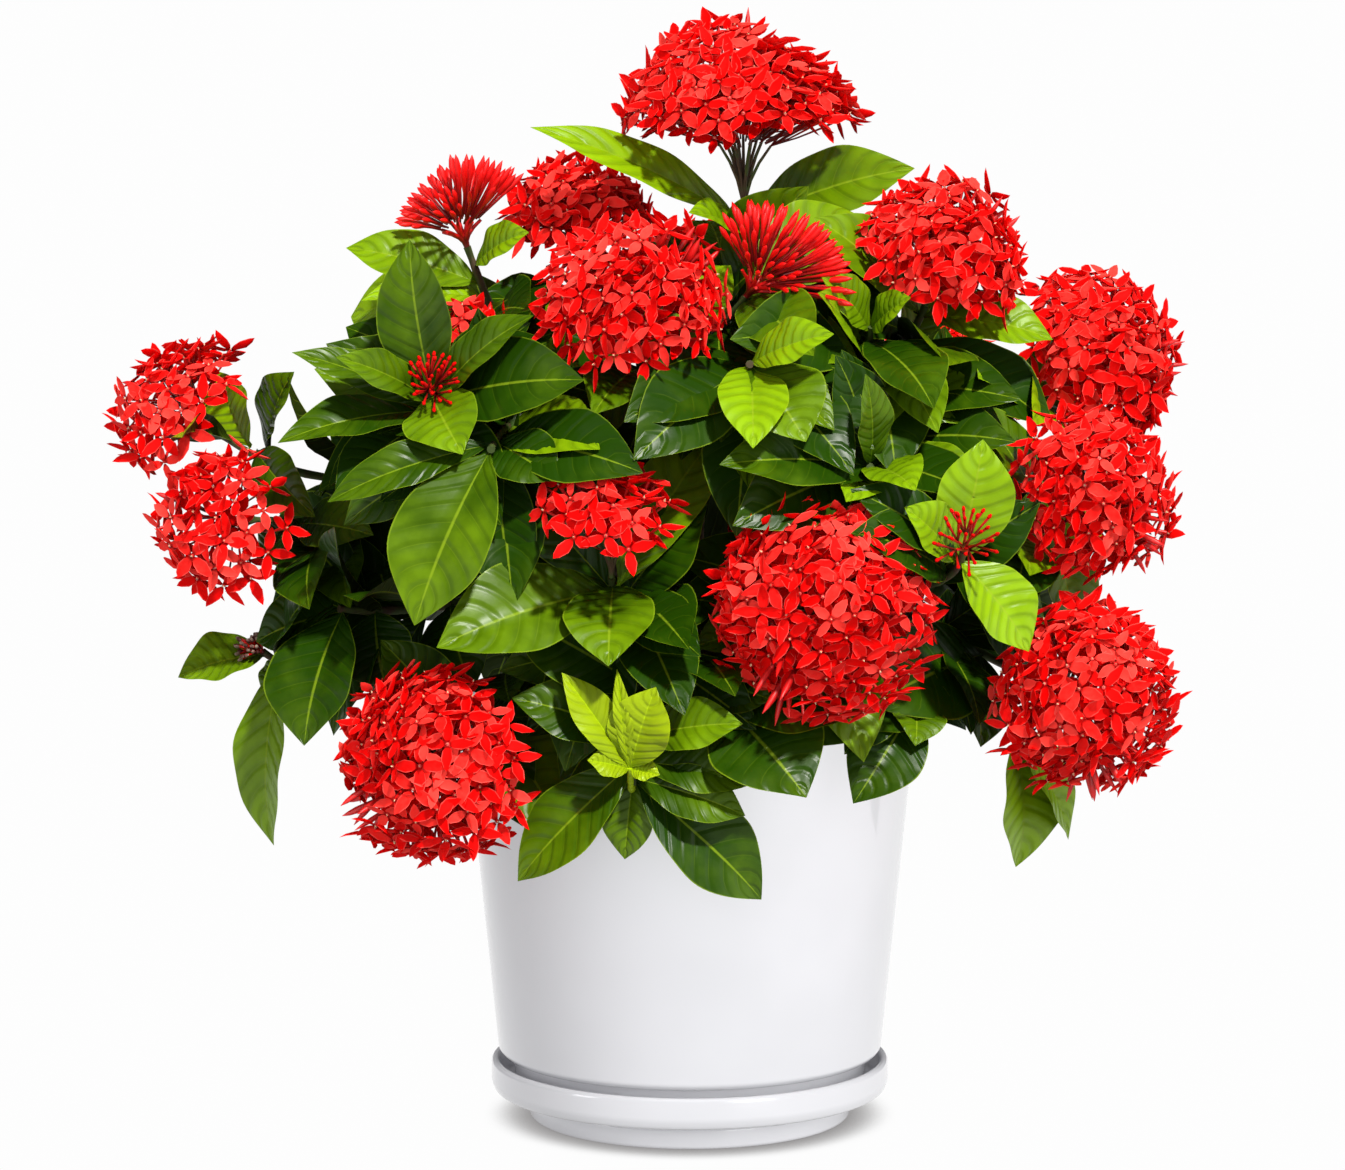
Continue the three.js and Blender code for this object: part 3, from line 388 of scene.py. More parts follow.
class Shader:
    """A material of one Principled shader, whose sockets are filled from values and nodes."""

    def __init__(self, name):
        self.material = bpy.data.materials.new(name)
        self.material.use_nodes = True
        self.tree = self.material.node_tree
        self.tree.nodes.clear()
        self.surface = self.tree.nodes.new("ShaderNodeBsdfPrincipled")
        output = self.tree.nodes.new("ShaderNodeOutputMaterial")
        self.tree.links.new(self.surface.outputs["BSDF"], output.inputs["Surface"])

    def fill(self, socket, value):
        if isinstance(value, Socket):
            self.tree.links.new(value.socket, socket)
        elif socket.type == "RGBA" and len(value) == 3:
            socket.default_value = (*value, 1.0)
        else:
            socket.default_value = value

    def node(self, kind, settings, inputs, output=0):
        """A node of the type. Its settings are made first, then its sockets' values or links."""
        node = self.tree.nodes.new(kind)
        for name, value in settings.items():
            setattr(node, name, value)
        for name, value in inputs.items():
            self.fill(node.inputs[name], value)
        return Socket(self, node.outputs[output])

    def mix(self, factor, first, second):
        """The first colour where factor is 0 and the second where it is 1."""
        inputs = {"Factor": factor, 6: first, 7: second}
        return self.node("ShaderNodeMix", {"data_type": "RGBA"}, inputs, output=2)

    def noise(self, scale, detail=3.0):
        where = self.node("ShaderNodeTexCoord", {}, {}, output="Object")
        inputs = {"Vector": where, "Scale": scale, "Detail": detail}
        return self.node("ShaderNodeTexNoise", {}, inputs)

    def attribute(self, name):
        return self.node("ShaderNodeAttribute", {"attribute_name": name}, {}, output="Fac")

    def along_and_across(self):
        """The piece's own map: the share along a leaf or petal, and its distance from the middle
        line, which is 0 there and 1 at the edges."""
        where = self.node("ShaderNodeUVMap", {"uv_map": MAP}, {})
        along = self.node("ShaderNodeSeparateXYZ", {}, {"Vector": where}, output="X")
        across = self.node("ShaderNodeSeparateXYZ", {}, {"Vector": where}, output="Y")
        return along, abs(across * 2.0 - 1.0)

    def bump(self, height, distance, strength=1.0):
        inputs = {"Height": height, "Distance": distance, "Strength": strength}
        return self.node("ShaderNodeBump", {}, inputs)

    def finish(self, **sockets):
        for name, value in sockets.items():
            self.fill(self.surface.inputs[name.replace("_", " ")], value)
        return self.material


def fine_size(name):
    """One of the sizes of the settings, in millimetres."""
    return getattr(bpy.context.scene.ixora_sizes, name) / TO_METRES


def tint(name):
    """One of the colours of the settings."""
    return tuple(getattr(bpy.context.scene.ixora_colours, name))


def shaded(colour, factor):
    """A colour made darker by a factor under 1, or lighter by one above it."""
    return tuple(min(1.0, factor * channel) for channel in colour)


def glaze_material():
    """White glaze, a little cloudy, with the faint waves of a dipped surface."""
    shader = Shader("white_glaze")
    cloud = shader.noise(scale=9.0)
    wave = shader.noise(scale=26.0, detail=2.0)
    white = tint("glaze")
    return shader.finish(
        Base_Color=shader.mix(cloud.ramp(0.35, 0.7), white, shaded(white, 0.94)),
        Roughness=0.1 + cloud * 0.08,
        Normal=shader.bump(wave, distance=0.0006, strength=0.25),
        Coat_Weight=0.4,
    )


def soil_material():
    """Dark crumbs with paler flecks."""
    shader = Shader("damp_soil")
    crumb = shader.noise(scale=220.0, detail=6.0)
    fleck = shader.noise(scale=420.0, detail=2.0).ramp(0.66, 0.74)
    dark = tint("soil")
    base = shader.mix(crumb.ramp(0.35, 0.75), dark, shaded(dark, 3.2))
    return shader.finish(
        Base_Color=shader.mix(fleck * 0.6, base, PALE_FLECK),
        Roughness=0.85 + crumb * 0.15,
        Normal=shader.bump(crumb, distance=0.004),
    )


def bark_material():
    """Brown bark with paler patches and a rough, finely cracked surface."""
    shader = Shader("woody_bark")
    patch = shader.noise(scale=60.0, detail=5.0)
    crack = shader.noise(scale=380.0, detail=4.0)
    dark = tint("bark")
    base = shader.mix(patch.ramp(0.38, 0.68), dark, shaded(dark, 2.6))
    return shader.finish(
        Base_Color=shader.mix(crack.ramp(0.5, 0.62) * 0.5, base, DARK_CRACK),
        Roughness=0.75 + patch * 0.2,
        Normal=shader.bump(crack, distance=0.0015),
    )


def twig_material():
    """Green skin of a young shoot that turns brown in patches."""
    shader = Shader("twig_skin")
    patch = shader.noise(scale=90.0, detail=4.0)
    return shader.finish(
        Base_Color=shader.mix(patch.ramp(0.42, 0.6), GREEN_SKIN, tint("bark")),
        Roughness=0.55 + patch * 0.2,
        Normal=shader.bump(patch, distance=0.0008),
    )


def side_veins(along, across):
    """Distance from the nearest side vein, 0 on a vein and 0.5 half way to the next. The veins
    leave the midrib, lean to the tip and curve forwards near the margin."""
    lean = across * VEIN_LEAN + across * across * VEIN_CURVE
    phase = ((along - lean) * float(VEIN_PAIRS) + 1.0).fraction()
    return phase.smaller(1.0 - phase)


def leaf_material(name, deep, bright, vein, under, gloss):
    """A leaf from deep to bright green by its tone, which also carries painted light and shade, and
    painted a little deeper at its base and brighter at its tip; with pale veins and margin, painted
    shade in the hollows along the veins, mottling, and a dull underside."""
    shader = Shader(name)
    along, across = shader.along_and_across()
    side = side_veins(along, across)
    tone = shader.attribute(TONE_AND_PAINTED_LIGHT)
    below = shader.attribute(BELOW)
    mottle = shader.noise(scale=55.0, detail=4.0)
    # Painted light: the tone and a rise from base to tip make the blade deeper or brighter.
    spread = (tone + (mottle - 0.5) * 0.5 + (along - 0.5) * 0.3).ramp(0.05, 1.1)
    blade = shader.mix(spread, deep, bright)
    # Painted shade in the hollows along the side veins.
    painted_vein_shade = 1.0 - side.ramp(0.0, 0.42)
    blade = shader.mix(painted_vein_shade * 0.26, blade, deep)
    line = (1.0 - side.ramp(0.008, 0.035)) * (1.0 - across.ramp(0.6, 0.88))
    rib = 1.0 - across.ramp(0.012, 0.045)
    margin = across.ramp(0.96, 0.985)
    drawn = shader.mix(line * (spread * 0.22 + 0.08), blade, vein)
    drawn = shader.mix(rib * 0.6, drawn, vein)
    drawn = shader.mix(margin * 0.45, drawn, vein)
    dull = shader.mix(spread, shaded(under, 0.45), under)
    # Painted shade in the hollows of the underside too.
    dull = shader.mix(painted_vein_shade * 0.3, dull, shaded(under, 0.3))
    dull = shader.mix(rib * 0.6 + line * 0.25, dull, vein)
    swell = side.ramp(0.0, 0.3) * 0.5 + mottle * 0.35
    return shader.finish(
        Base_Color=shader.mix(below, drawn, dull),
        Roughness=gloss + mottle * 0.16 + below * 0.25,
        Normal=shader.bump(swell, distance=0.0014, strength=0.5),
        Specular_IOR_Level=0.2,
    )


def petal_material():
    """Scarlet petals, deeper or brighter by their tone and a fine grain, with a painted sheen on
    the brightest and painted shade on the florets of a shaded layer; a thin paler margin that is
    partly a painted highlight, and a throat painted dark for the shade where the tube opens."""
    shader = Shader("open_petal")
    along, across = shader.along_and_across()
    tone = shader.attribute(TONE_AND_PAINTED_LIGHT)
    grain = shader.noise(scale=300.0, detail=2.0)
    bright = tint("petal")
    deep = (0.7 * bright[0], 0.1 * bright[1], 0.1 * bright[2])
    light = tone + grain * 0.3
    blade = shader.mix(light.ramp(0.0, 0.7), deep, bright)
    # Painted sheen on the brightest petals.
    blade = shader.mix(light.ramp(0.6, 1.2), blade, LIT_PETAL)
    # The paler margin is partly a painted highlight where the thin edge catches the light.
    margin = across.ramp(0.8, 1.0) * along.ramp(0.15, 0.4)
    edged = shader.mix(margin * 0.5, blade, tint("petal_margin"))
    # Painted shade: the throat darkens to the tube's red where the tube opens.
    throat = 1.0 - along.ramp(0.09, 0.22)
    return shader.finish(
        Base_Color=shader.mix(throat * 0.8, edged, tint("tube")),
        Roughness=0.5 + grain * 0.15,
        Normal=shader.bump(grain, distance=0.0003, strength=0.4),
        Specular_IOR_Level=0.02,
    )


def red_material(name, end, low, high, waver, roughness, gloss):
    """Dark red up to the share low along a stalk or bud, and the end colour from high on, with a
    border that wavers."""
    shader = Shader(name)
    along, _ = shader.along_and_across()
    grain = shader.noise(scale=260.0, detail=2.0)
    rise = (along + (grain - 0.5) * waver).ramp(low, high)
    return shader.finish(
        Base_Color=shader.mix(rise, tint("tube"), end),
        Roughness=roughness + grain * 0.2,
        Specular_IOR_Level=gloss,
    )


def stalk_material():
    """Dark red tubes and stalks that grow brighter towards their end."""
    return red_material(
        "red_stalk", shaded(tint("petal"), 0.8), low=0.25, high=0.85, waver=0.4, roughness=0.34,
        gloss=0.5,
    )


def bud_material():
    """Bright red buds on tubes that darken at the foot."""
    return red_material(
        "closed_bud", tint("petal"), low=0.02, high=0.6, waver=0.3, roughness=0.36, gloss=0.35,
    )


def anther_material():
    """Pale points with a waxy break of colour."""
    shader = Shader("pale_anther")
    grain = shader.noise(scale=500.0, detail=1.0)
    pale = tint("anther")
    return shader.finish(
        Base_Color=shader.mix(grain, pale, shaded(pale, 0.6)),
        Roughness=0.5 + grain * 0.2,
    )


def calyx_material():
    """Dried ends of the spent stalks, from brown to near white."""
    shader = Shader("dry_calyx")
    grain = shader.noise(scale=160.0, detail=2.0)
    return shader.finish(
        Base_Color=shader.mix(grain.ramp(0.4, 0.65), DRY_BROWN, DRY_PALE),
        Roughness=0.6 + grain * 0.2,
    )


# ------------------------------------------------------------------------------- surfaces

# A surface in millimetres: points (n, 3); faces (m, 4) that point outwards, a triangle ending in
# -1; the share along and across for each point; tone and below for each face; and its material.
Surface = namedtuple("Surface", "points faces shares tones belows material")


def surface(points, faces, shares=None, tones=0.5, belows=0.0, material=0):
    """A surface, where one tone and one below may stand for all its faces."""
    count = len(faces)
    shares = np.zeros((len(points), 2)) if shares is None else shares
    tones = np.broadcast_to(np.asarray(tones, float), count)
    belows = np.broadcast_to(np.asarray(belows, float), count)
    return Surface(points, faces, shares, tones, belows, material)


def unit(vectors):
    """The vectors made 1 long."""
    return vectors / np.linalg.norm(vectors, axis=-1, keepdims=True)


def bowed(start, middle, end, t):
    """The quadratic curve (1-t)^2 start + 2t(1-t) middle + t^2 end."""
    return (1 - t) ** 2 * start + 2 * t * (1 - t) * middle + t ** 2 * end


def scatter(count, salt):
    """An even scatter between 0 and 1 that repeats the same on every run."""
    return (count * 0.6180339887 + salt * 0.7548776662) % 1


def shifted(faces, offset):
    """The faces with their corners' numbers moved on by the offset."""
    return np.where(faces < 0, -1, faces + offset)


def linked(name, data):
    """A new object of the data, in the scene."""
    made = bpy.data.objects.new(name, data)
    bpy.context.scene.collection.objects.link(made)
    return made


def make_piece(name, surfaces, materials, replaced=(), sharp=50):
    """One mesh object from its surfaces. Edges sharper than `sharp` degrees stay sharp."""
    offsets = np.cumsum([0] + [len(part.points) for part in surfaces[:-1]])
    points = np.concatenate([part.points for part in surfaces]) * TO_METRES
    shares = np.concatenate([part.shares for part in surfaces])
    faces = np.concatenate([
        shifted(part.faces, offset) for part, offset in zip(surfaces, offsets)
    ])
    corners = faces[faces >= 0]
    totals = (faces >= 0).sum(axis=1)
    starts = np.concatenate([[0], np.cumsum(totals)[:-1]])
    slots = np.concatenate([np.full(len(part.faces), part.material) for part in surfaces])
    mesh = bpy.data.meshes.new(name)
    mesh.vertices.add(len(points))
    mesh.loops.add(len(corners))
    mesh.polygons.add(len(faces))
    mesh.vertices.foreach_set("co", points.astype(np.float32).ravel())
    mesh.loops.foreach_set("vertex_index", corners.astype(np.int32))
    mesh.polygons.foreach_set("loop_start", starts.astype(np.int32))
    mesh.polygons.foreach_set("loop_total", totals.astype(np.int32))
    mesh.polygons.foreach_set("material_index", slots.astype(np.int32))
    mesh.polygons.foreach_set("use_smooth", np.ones(len(faces), bool))
    layer = mesh.uv_layers.new(name=MAP)
    layer.data.foreach_set("uv", shares[corners].astype(np.float32).ravel())
    for title, values in ((TONE_AND_PAINTED_LIGHT, "tones"), (BELOW, "belows")):
        numbers = np.concatenate([getattr(part, values) for part in surfaces])
        attribute = mesh.attributes.new(title, "FLOAT", "FACE")
        attribute.data.foreach_set("value", numbers.astype(np.float32))
    for material in materials:
        mesh.materials.append(material)
    mesh.update(calc_edges=True)
    mesh.set_sharp_from_angle(angle=math.radians(sharp))
    if mesh.validate():
        raise RuntimeError(f"the mesh of {name} had faults")
    made = linked(name, mesh)
    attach(made, "root")
    if replaced:
        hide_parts(*replaced)
    return made


def rounded(profile, radius, steps):
    """A [radius, height] profile whose inner corners are each cut back by up to `radius` and
    replaced by the quadratic curve from the cut before a corner to the cut after it."""
    profile = np.array(profile, float)
    corners = profile[1:-1]
    back = profile[:-2] - corners
    ahead = profile[2:] - corners
    lengths = np.minimum(np.linalg.norm(back, axis=1), np.linalg.norm(ahead, axis=1))
    cut = np.minimum(radius, 0.45 * lengths)[:, None]
    before = corners + unit(back) * cut
    after = corners + unit(ahead) * cut
    t = np.linspace(0, 1, steps)[None, :, None]
    curve = bowed(before[:, None], corners[:, None], after[:, None], t)
    return np.concatenate([profile[:1], curve.reshape(-1, 2), profile[-1:]])


def refined(profile, longest):
    """The profile with points added so that no step is longer than `longest`."""
    lengths = np.linalg.norm(np.diff(profile, axis=0), axis=1)
    counts = np.maximum(1, np.ceil(lengths / longest)).astype(int)
    places = np.concatenate([
        start + np.arange(count) / count for start, count in enumerate(counts)
    ] + [[len(profile) - 1]])
    index = np.arange(len(profile))
    return np.stack([np.interp(places, index, profile[:, k]) for k in (0, 1)], axis=1)


def ring_faces(rows, poles=()):
    """Faces that point outwards between rings of points, given by their numbers, and from the
    first and the last ring to the two poles where there are any."""
    after = np.roll(rows, -1, axis=1)
    faces = [np.stack([rows[:-1], after[:-1], after[1:], rows[1:]], axis=2).reshape(-1, 4)]
    none = np.full(rows.shape[1], -1)
    for pole, right, left in zip(poles, (after[0], rows[-1]), (rows[0], after[-1])):
        faces.append(np.stack([np.full(rows.shape[1], pole), right, left, none], axis=1))
    return np.concatenate(faces)


def turned(profile, sides):
    """A profile that runs up the outside, turned round the Z axis: the point at turn a is
    (radius cos a, radius sin a, height). Where it ends on the axis it closes on one point, and
    otherwise its last point is its first."""
    angles = np.linspace(0, 2 * math.pi, sides, endpoint=False)
    ring = np.stack([np.cos(angles), np.sin(angles)], axis=1)
    closed = profile[0, 0] > 0
    rings = profile[:-1] if closed else profile[1:-1]
    count = len(rings)
    points = np.concatenate([
        rings[:, None, :1] * ring[None], np.repeat(rings[:, None, 1:], sides, axis=1),
    ], axis=2).reshape(-1, 3)
    index = np.arange(count * sides).reshape(count, sides)
    if closed:
        return points, ring_faces(np.concatenate([index, index[:1]]))
    faces = ring_faces(index, len(points) + np.arange(2))
    points = np.concatenate([points, [[0, 0, profile[0, 1]], [0, 0, profile[-1, 1]]]])
    return points, faces


def tubes(centres, radii, normal, sides, tones=0.5, material=0):
    """Round tubes, one for each row of centres (n, k, 3), with radii (n, k) or (k,). A ring's
    points are centre + radius (cos a first + sin a second), with first and second square to the
    tube's direction there, and first square to `normal` as well. Both ends close on one point."""
    count, rings = centres.shape[:2]
    radii = np.broadcast_to(radii, (count, rings))
    direction = unit(np.gradient(centres, axis=1))
    first = unit(np.cross(direction, np.broadcast_to(normal, (count, 3))[:, None]))
    second = np.cross(direction, first)
    angles = np.linspace(0, 2 * math.pi, sides, endpoint=False)[:, None]
    spokes = np.cos(angles) * first[:, :, None] + np.sin(angles) * second[:, :, None]
    walls = centres[:, :, None] + radii[:, :, None, None] * spokes
    points = np.concatenate([walls.reshape(count, -1, 3), centres[:, :1], centres[:, -1:]], axis=1)
    rows = np.arange(rings * sides).reshape(rings, sides)
    faces = ring_faces(rows, (rings * sides, rings * sides + 1))
    along = np.append(np.repeat(np.linspace(0, 1, rings), sides), [0, 1])
    shares = np.stack([along, np.full(len(along), 0.5)], axis=1)
    return repeat_surface(points, faces, shares, tones, 0.0, material)


def repeat_surface(points, faces, shares, tones, belows, material):
    """Copies of one shape, whose points (n, p, 3) differ and whose faces and shares don't."""
    count = len(points)
    offsets = (np.arange(count) * points.shape[1])[:, None, None]
    every = shifted(faces[None], offsets).reshape(-1, 4)
    tones = np.repeat(np.broadcast_to(tones, count), len(faces))
    belows = np.tile(np.broadcast_to(belows, len(faces)), count)
    return surface(
        points.reshape(-1, 3), every, np.tile(shares, (count, 1)), tones, belows, material
    )


# --------------------------------------------------------------------- the shrub's own lines


def stem_curve(start, end, heading):
    """The three points of a quadratic curve that reaches `end` in the direction `heading`."""
    middle = end - heading * (np.linalg.norm(end - start) * 0.5)
    return np.array([start, middle, end])


def curve_point(curve, t):
    """The point of a stem's curve at t, which may be an array."""
    return bowed(*curve, np.asarray(t, float)[..., None])


def curve_heading(curve, t):
    """The direction of a stem's curve at t."""
    return unit((1 - t) * (curve[1] - curve[0]) + t * (curve[2] - curve[1]))


def across_of(curve):
    """Square to the plane that the curve bends in."""
    across = np.cross(curve[1] - curve[0], curve[2] - curve[0])
    if across @ across > 1:
        return unit(across)
    # A straight curve lies in every plane along it, and the upright one is taken.
    return unit(np.cross(curve[2] - curve[0], UP))


def twig_point(curve, place):
    """A place on the straight lengths of the CAD twig."""
    share = (place - WOODY_SHARE) / (1 - WOODY_SHARE) * TWIG_STEPS
    step = min(math.floor(share), TWIG_STEPS - 1)
    places = WOODY_SHARE + (1 - WOODY_SHARE) * np.arange(TWIG_STEPS + 1) / TWIG_STEPS
    rings = curve_point(curve, places)
    return rings[step] + (rings[step + 1] - rings[step]) * (share - step)


def shoot_end(shoot):
    """The point where a shoot's twig ends, and the direction in which it faces there."""
    axis = unit(np.array(shoot.facing, float))
    back = {"head": STALK_SHARE * shoot.radius + GAP, "leafy": 0.0}.get(shoot.kind, GAP)
    return np.array(shoot.at, float) - axis * back, axis


def shoot_curve(shoot):
    """The curve of a shoot from its fork to its end."""
    end, axis = shoot_end(shoot)
    return stem_curve(np.array(FORKS[shoot.fork], float), end, axis)


# --------------------------------------------------------------------------------- leaves

Leaf = namedtuple("Leaf", "base tip width tone")

# Rows along a leaf and columns across it.
LEAF_GRID = (28, 8)
INNER_GRID = (14, 4)
# Of a blade, in millimetres: its thickness, the ridge under its midrib and the groove over it, its
# thicker foot, and the waves of its margin. Then the number of waves along it, and the place from
# which its tip curls.
BLADE_THICKNESS = 0.5
RIDGE_HEIGHT = 1.1
GROOVE_DEPTH = 0.5
FOOT_THICKNESS = 0.9
WAVE_HEIGHT = 1.1
WAVES = 2.6
CURL_START = 0.62

# An upper face looks this much out and up. Out is away from a place this far behind the trunk, and
# counts by this share to the sides.
FACE_OUT = 0.85
FACE_UP = 0.55
FACE_BEHIND = 50
FACE_SIDEWAYS = 0.5

# The leaves of a pair by their draw: the shortest and the range above it, as shares of the full
# length; the same for the tilt towards the twig's end, in degrees; and how far they rise or sink.
PAIR_SHORTEST = 0.78
PAIR_LENGTHS = 0.34
PAIR_TILT = 22
PAIR_TILTS = 26
PAIR_RISE = 0.15
PAIR_SINKS = 0.85


def leaf_facing(base, along):
    """The upper face looks up and outwards, turned a little to the light at the front."""
    out = unit(np.array([base[0] * FACE_SIDEWAYS, base[1] - FACE_BEHIND, 0.0]))
    face = out * FACE_OUT + UP * FACE_UP
    return unit(face - along * (face @ along))


def turned_about(vector, axis, degrees):
    """A vector turned about an axis that it is square to."""
    angle = math.radians(degrees)
    return vector * math.cos(angle) + np.cross(axis, vector) * math.sin(angle)


def bent_tip(base, tip, bend):
    """The tip after a bend: raised about the leaf's side axis, swung about its upper face, and
    drawn in."""
    raised, swung, kept = bend
    length = np.linalg.norm(tip - base) * kept
    along = unit(tip - base)
    face = leaf_facing(base, along)
    side = np.cross(along, face)
    along = turned_about(along, side, raised)
    forward = along @ face
    along = turned_about(along - face * forward, face, swung) + face * forward
    return base + along * length


def pair_leaves(curve, place, order, number):
    """Two opposite leaves by the common rule: base, tip and a draw for each."""
    across = across_of(curve)
    heading = curve_heading(curve, place)
    quarter = across if order % 2 == 0 else np.cross(heading, across)
    found = []
    for way in (1, -1):
        draw = scatter(number * 7 + order * 2 + (1 if way > 0 else 0), number)
        length = LEAF_LENGTH * (PAIR_SHORTEST + PAIR_LENGTHS * draw)
        tilt = math.radians(PAIR_TILT + PAIR_TILTS * ((draw * 3) % 1))
        along = quarter * (way * math.cos(tilt)) + heading * math.sin(tilt)
        along = unit(along + UP * (PAIR_RISE - PAIR_SINKS * ((draw * 5) % 1)))
        base = twig_point(curve, place)
        found.append((base, base + along * length, draw))
    return found


def wanted_leaves(shoot, number):
    """A shoot's own leaves and then its pairs, before any is bent clear."""
    curve = shoot_curve(shoot)
    wanted = [
        Leaf(twig_point(curve, place), np.array(tip, float), width, tone)
        for place, *tip, width, tone in shoot.leaves
    ]
    for order, place in enumerate(shoot.pairs):
        for base, tip, draw in pair_leaves(curve, place, order, number):
            width = np.linalg.norm(tip - base) * PAIR_WIDTH
            wanted.append(Leaf(base, tip, width, leaf_tone_and_painted_light(base, draw)))
    return wanted


def leaf_tone_and_painted_light(base, draw):
    """Painted light and shade on top of a random tone: brighter high up and far out, where the
    light falls, and deeper within and below: by the reach from the trunk in shares of 200 mm, and
    the height over 200 mm in shares of 300 mm."""
    reach = math.hypot(base[0], base[1]) / 200
    height = (base[2] - 200) / 300
    return float(np.clip(0.3 * height + 0.22 * reach + 0.4 * (draw * 7 % 1), 0, 0.8))


def standing_leaf(leaf, corners):
    """The leaf in the first bend whose tip is a corner of its shoot's CAD solid, or None."""
    for bend in BENDS:
        tip = bent_tip(leaf.base, leaf.tip, bend)
        if np.linalg.norm(corners - tip, axis=1).min() < TIP_MATCH:
            return leaf._replace(tip=tip, width=leaf.width * bend[2])
    return None


def standing_leaves(leaves, node):
    """The leaves as they stand on a CAD solid, without those that it leaves out."""
    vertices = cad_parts[node].data.vertices
    corners = np.zeros(len(vertices) * 3)
    vertices.foreach_get("co", corners)
    corners = corners.reshape(-1, 3) / TO_METRES
    return [leaf for leaf in (standing_leaf(leaf, corners) for leaf in leaves) if leaf]


def leaf_surface(leaves, salt, grid=LEAF_GRID):
    """All of the leaves as closed blades. With u from 0 at the base to 1 at the tip and v from -1
    to 1 across, the upper face is
        base + along L u + side v h(u) + face (arch + fold + swell + wave + curl + turn)
    where L is the leaf's length, h(u) is half the width, the arch is L k 4u(1-u), the fold rises
    with |v|, the swell is |sin| between side veins with a groove over the midrib, the wave runs
    along the margin, the curl bends the tip and the turn tips the blade to one side as u grows.
    The underside lies below it by the blade's thickness, which has a ridge under the midrib,
    grows at the foot and ends in nothing at the margin."""
    count = len(leaves)
    rows, columns = grid
    draw = scatter(np.arange(count), salt)[:, None, None]
    base = np.array([leaf.base for leaf in leaves])
    tip = np.array([leaf.tip for leaf in leaves])
    width = np.array([leaf.width for leaf in leaves])[:, None, None]
    length = np.linalg.norm(tip - base, axis=1)[:, None, None]
    along = unit(tip - base)
    face = np.array([leaf_facing(leaf.base, way) for leaf, way in zip(leaves, along)])
    side = np.cross(along, face)
    u = np.linspace(0, 1, rows + 1)[None, :, None]
    v = np.linspace(-1, 1, columns + 1)[None, None, :]
    spread = np.abs(v)
    grown = np.clip((u - 0.05) / 0.95, 0, 1)
    outline = np.sin(math.pi * grown ** 1.08) ** (0.62 + 0.36 * grown)
    half = np.maximum(width / 2 * outline, 0.95 * (1 - u) ** 2 + 0.12)
    blade = outline * (1 - spread ** 6)
    lean = spread * VEIN_LEAN + spread ** 2 * VEIN_CURVE
    phase = (u - lean) * VEIN_PAIRS
    swell = fine_size("quilting") * np.abs(np.sin(math.pi * phase)) ** 0.7
    swell = swell * blade * np.minimum(1, spread * 4) - GROOVE_DEPTH * blade * (spread < 0.01)
    fold = LEAF_FOLD * half * spread ** 1.25
    wave = WAVE_HEIGHT * spread ** 2 * outline
    wave = wave * np.sin(2 * math.pi * (WAVES * u + draw) + 1.4 * np.sign(v))
    curl = -length * (0.03 + 0.08 * draw) * np.clip(u - CURL_START, 0, 1) ** 2 * 2.2
    arch = length * LEAF_ARCH * 4 * u * (1 - u)
    turn = half * v * 0.7 * (draw * 5 % 1 - 0.5) * u
    height = arch + fold + swell + wave + curl + turn
    thick = BLADE_THICKNESS * np.sqrt(1 - v ** 2)
    thick = thick + RIDGE_HEIGHT * np.exp(-(v / 0.1) ** 2) * (1 - 0.85 * u)
    foot = FOOT_THICKNESS * (1 - outline) * (1 - u) ** 6 * (1 - v ** 2)
    thick = np.where(spread > 0.999, 0, thick + foot) * (u > 0) * (u < 1)

    def placed(heights):
        points = base[:, None, None] + along[:, None, None] * (length * u)[..., None]
        points = points + side[:, None, None] * (half * v)[..., None]
        return points + face[:, None, None] * heights[..., None]

    upper = placed(height)
    lower = placed(height - thick)[:, 1:-1, 1:-1]
    points = np.concatenate([upper.reshape(count, -1, 3), lower.reshape(count, -1, 3)], axis=1)
    top = np.arange((rows + 1) * (columns + 1)).reshape(rows + 1, -1)
    under = top.copy()
    inner = (rows - 1) * (columns - 1)
    under[1:-1, 1:-1] = top.size + np.arange(inner).reshape(rows - 1, -1)
    faces = np.concatenate([
        np.stack([top[:-1, :-1], top[:-1, 1:], top[1:, 1:], top[1:, :-1]], axis=2),
        np.stack([under[:-1, :-1], under[1:, :-1], under[1:, 1:], under[:-1, 1:]], axis=2),
    ]).reshape(-1, 4)
    flat = np.stack(np.broadcast_arrays(u[0], (v[0] + 1) / 2), axis=2)
    shares = np.concatenate([flat.reshape(-1, 2), flat[1:-1, 1:-1].reshape(-1, 2)])
    belows = np.repeat([0.0, 1.0], rows * columns)
    tones = np.array([leaf.tone for leaf in leaves])
    return repeat_surface(points, faces, shares, tones, belows, 0)


def twig_surface(curve, start, radii, material=1):
    """A twig from the place `start` on its curve to its end, a little thicker at its joints."""
    places = np.linspace(start, 1, 12)
    centres = curve_point(curve, places)[None]
    radii = np.linspace(*radii, 12) * (1 + 0.12 * np.sin(places * 46))
    return tubes(centres, radii, across_of(curve), sides=8, material=material)


# The rounded body of leaves, within which the inner leaves stay.
CROWN_CENTRE = (-10, 0, 300)
CROWN_REACH = (220, 175, 170)
LOWEST_LEAF = 150
# Inner leaves stay above the pot's rim where they are over it, and out of this share of a head.
RIM_HEIGHT = 224
RIM_REACH = 122
HEAD_SHARE = 0.8


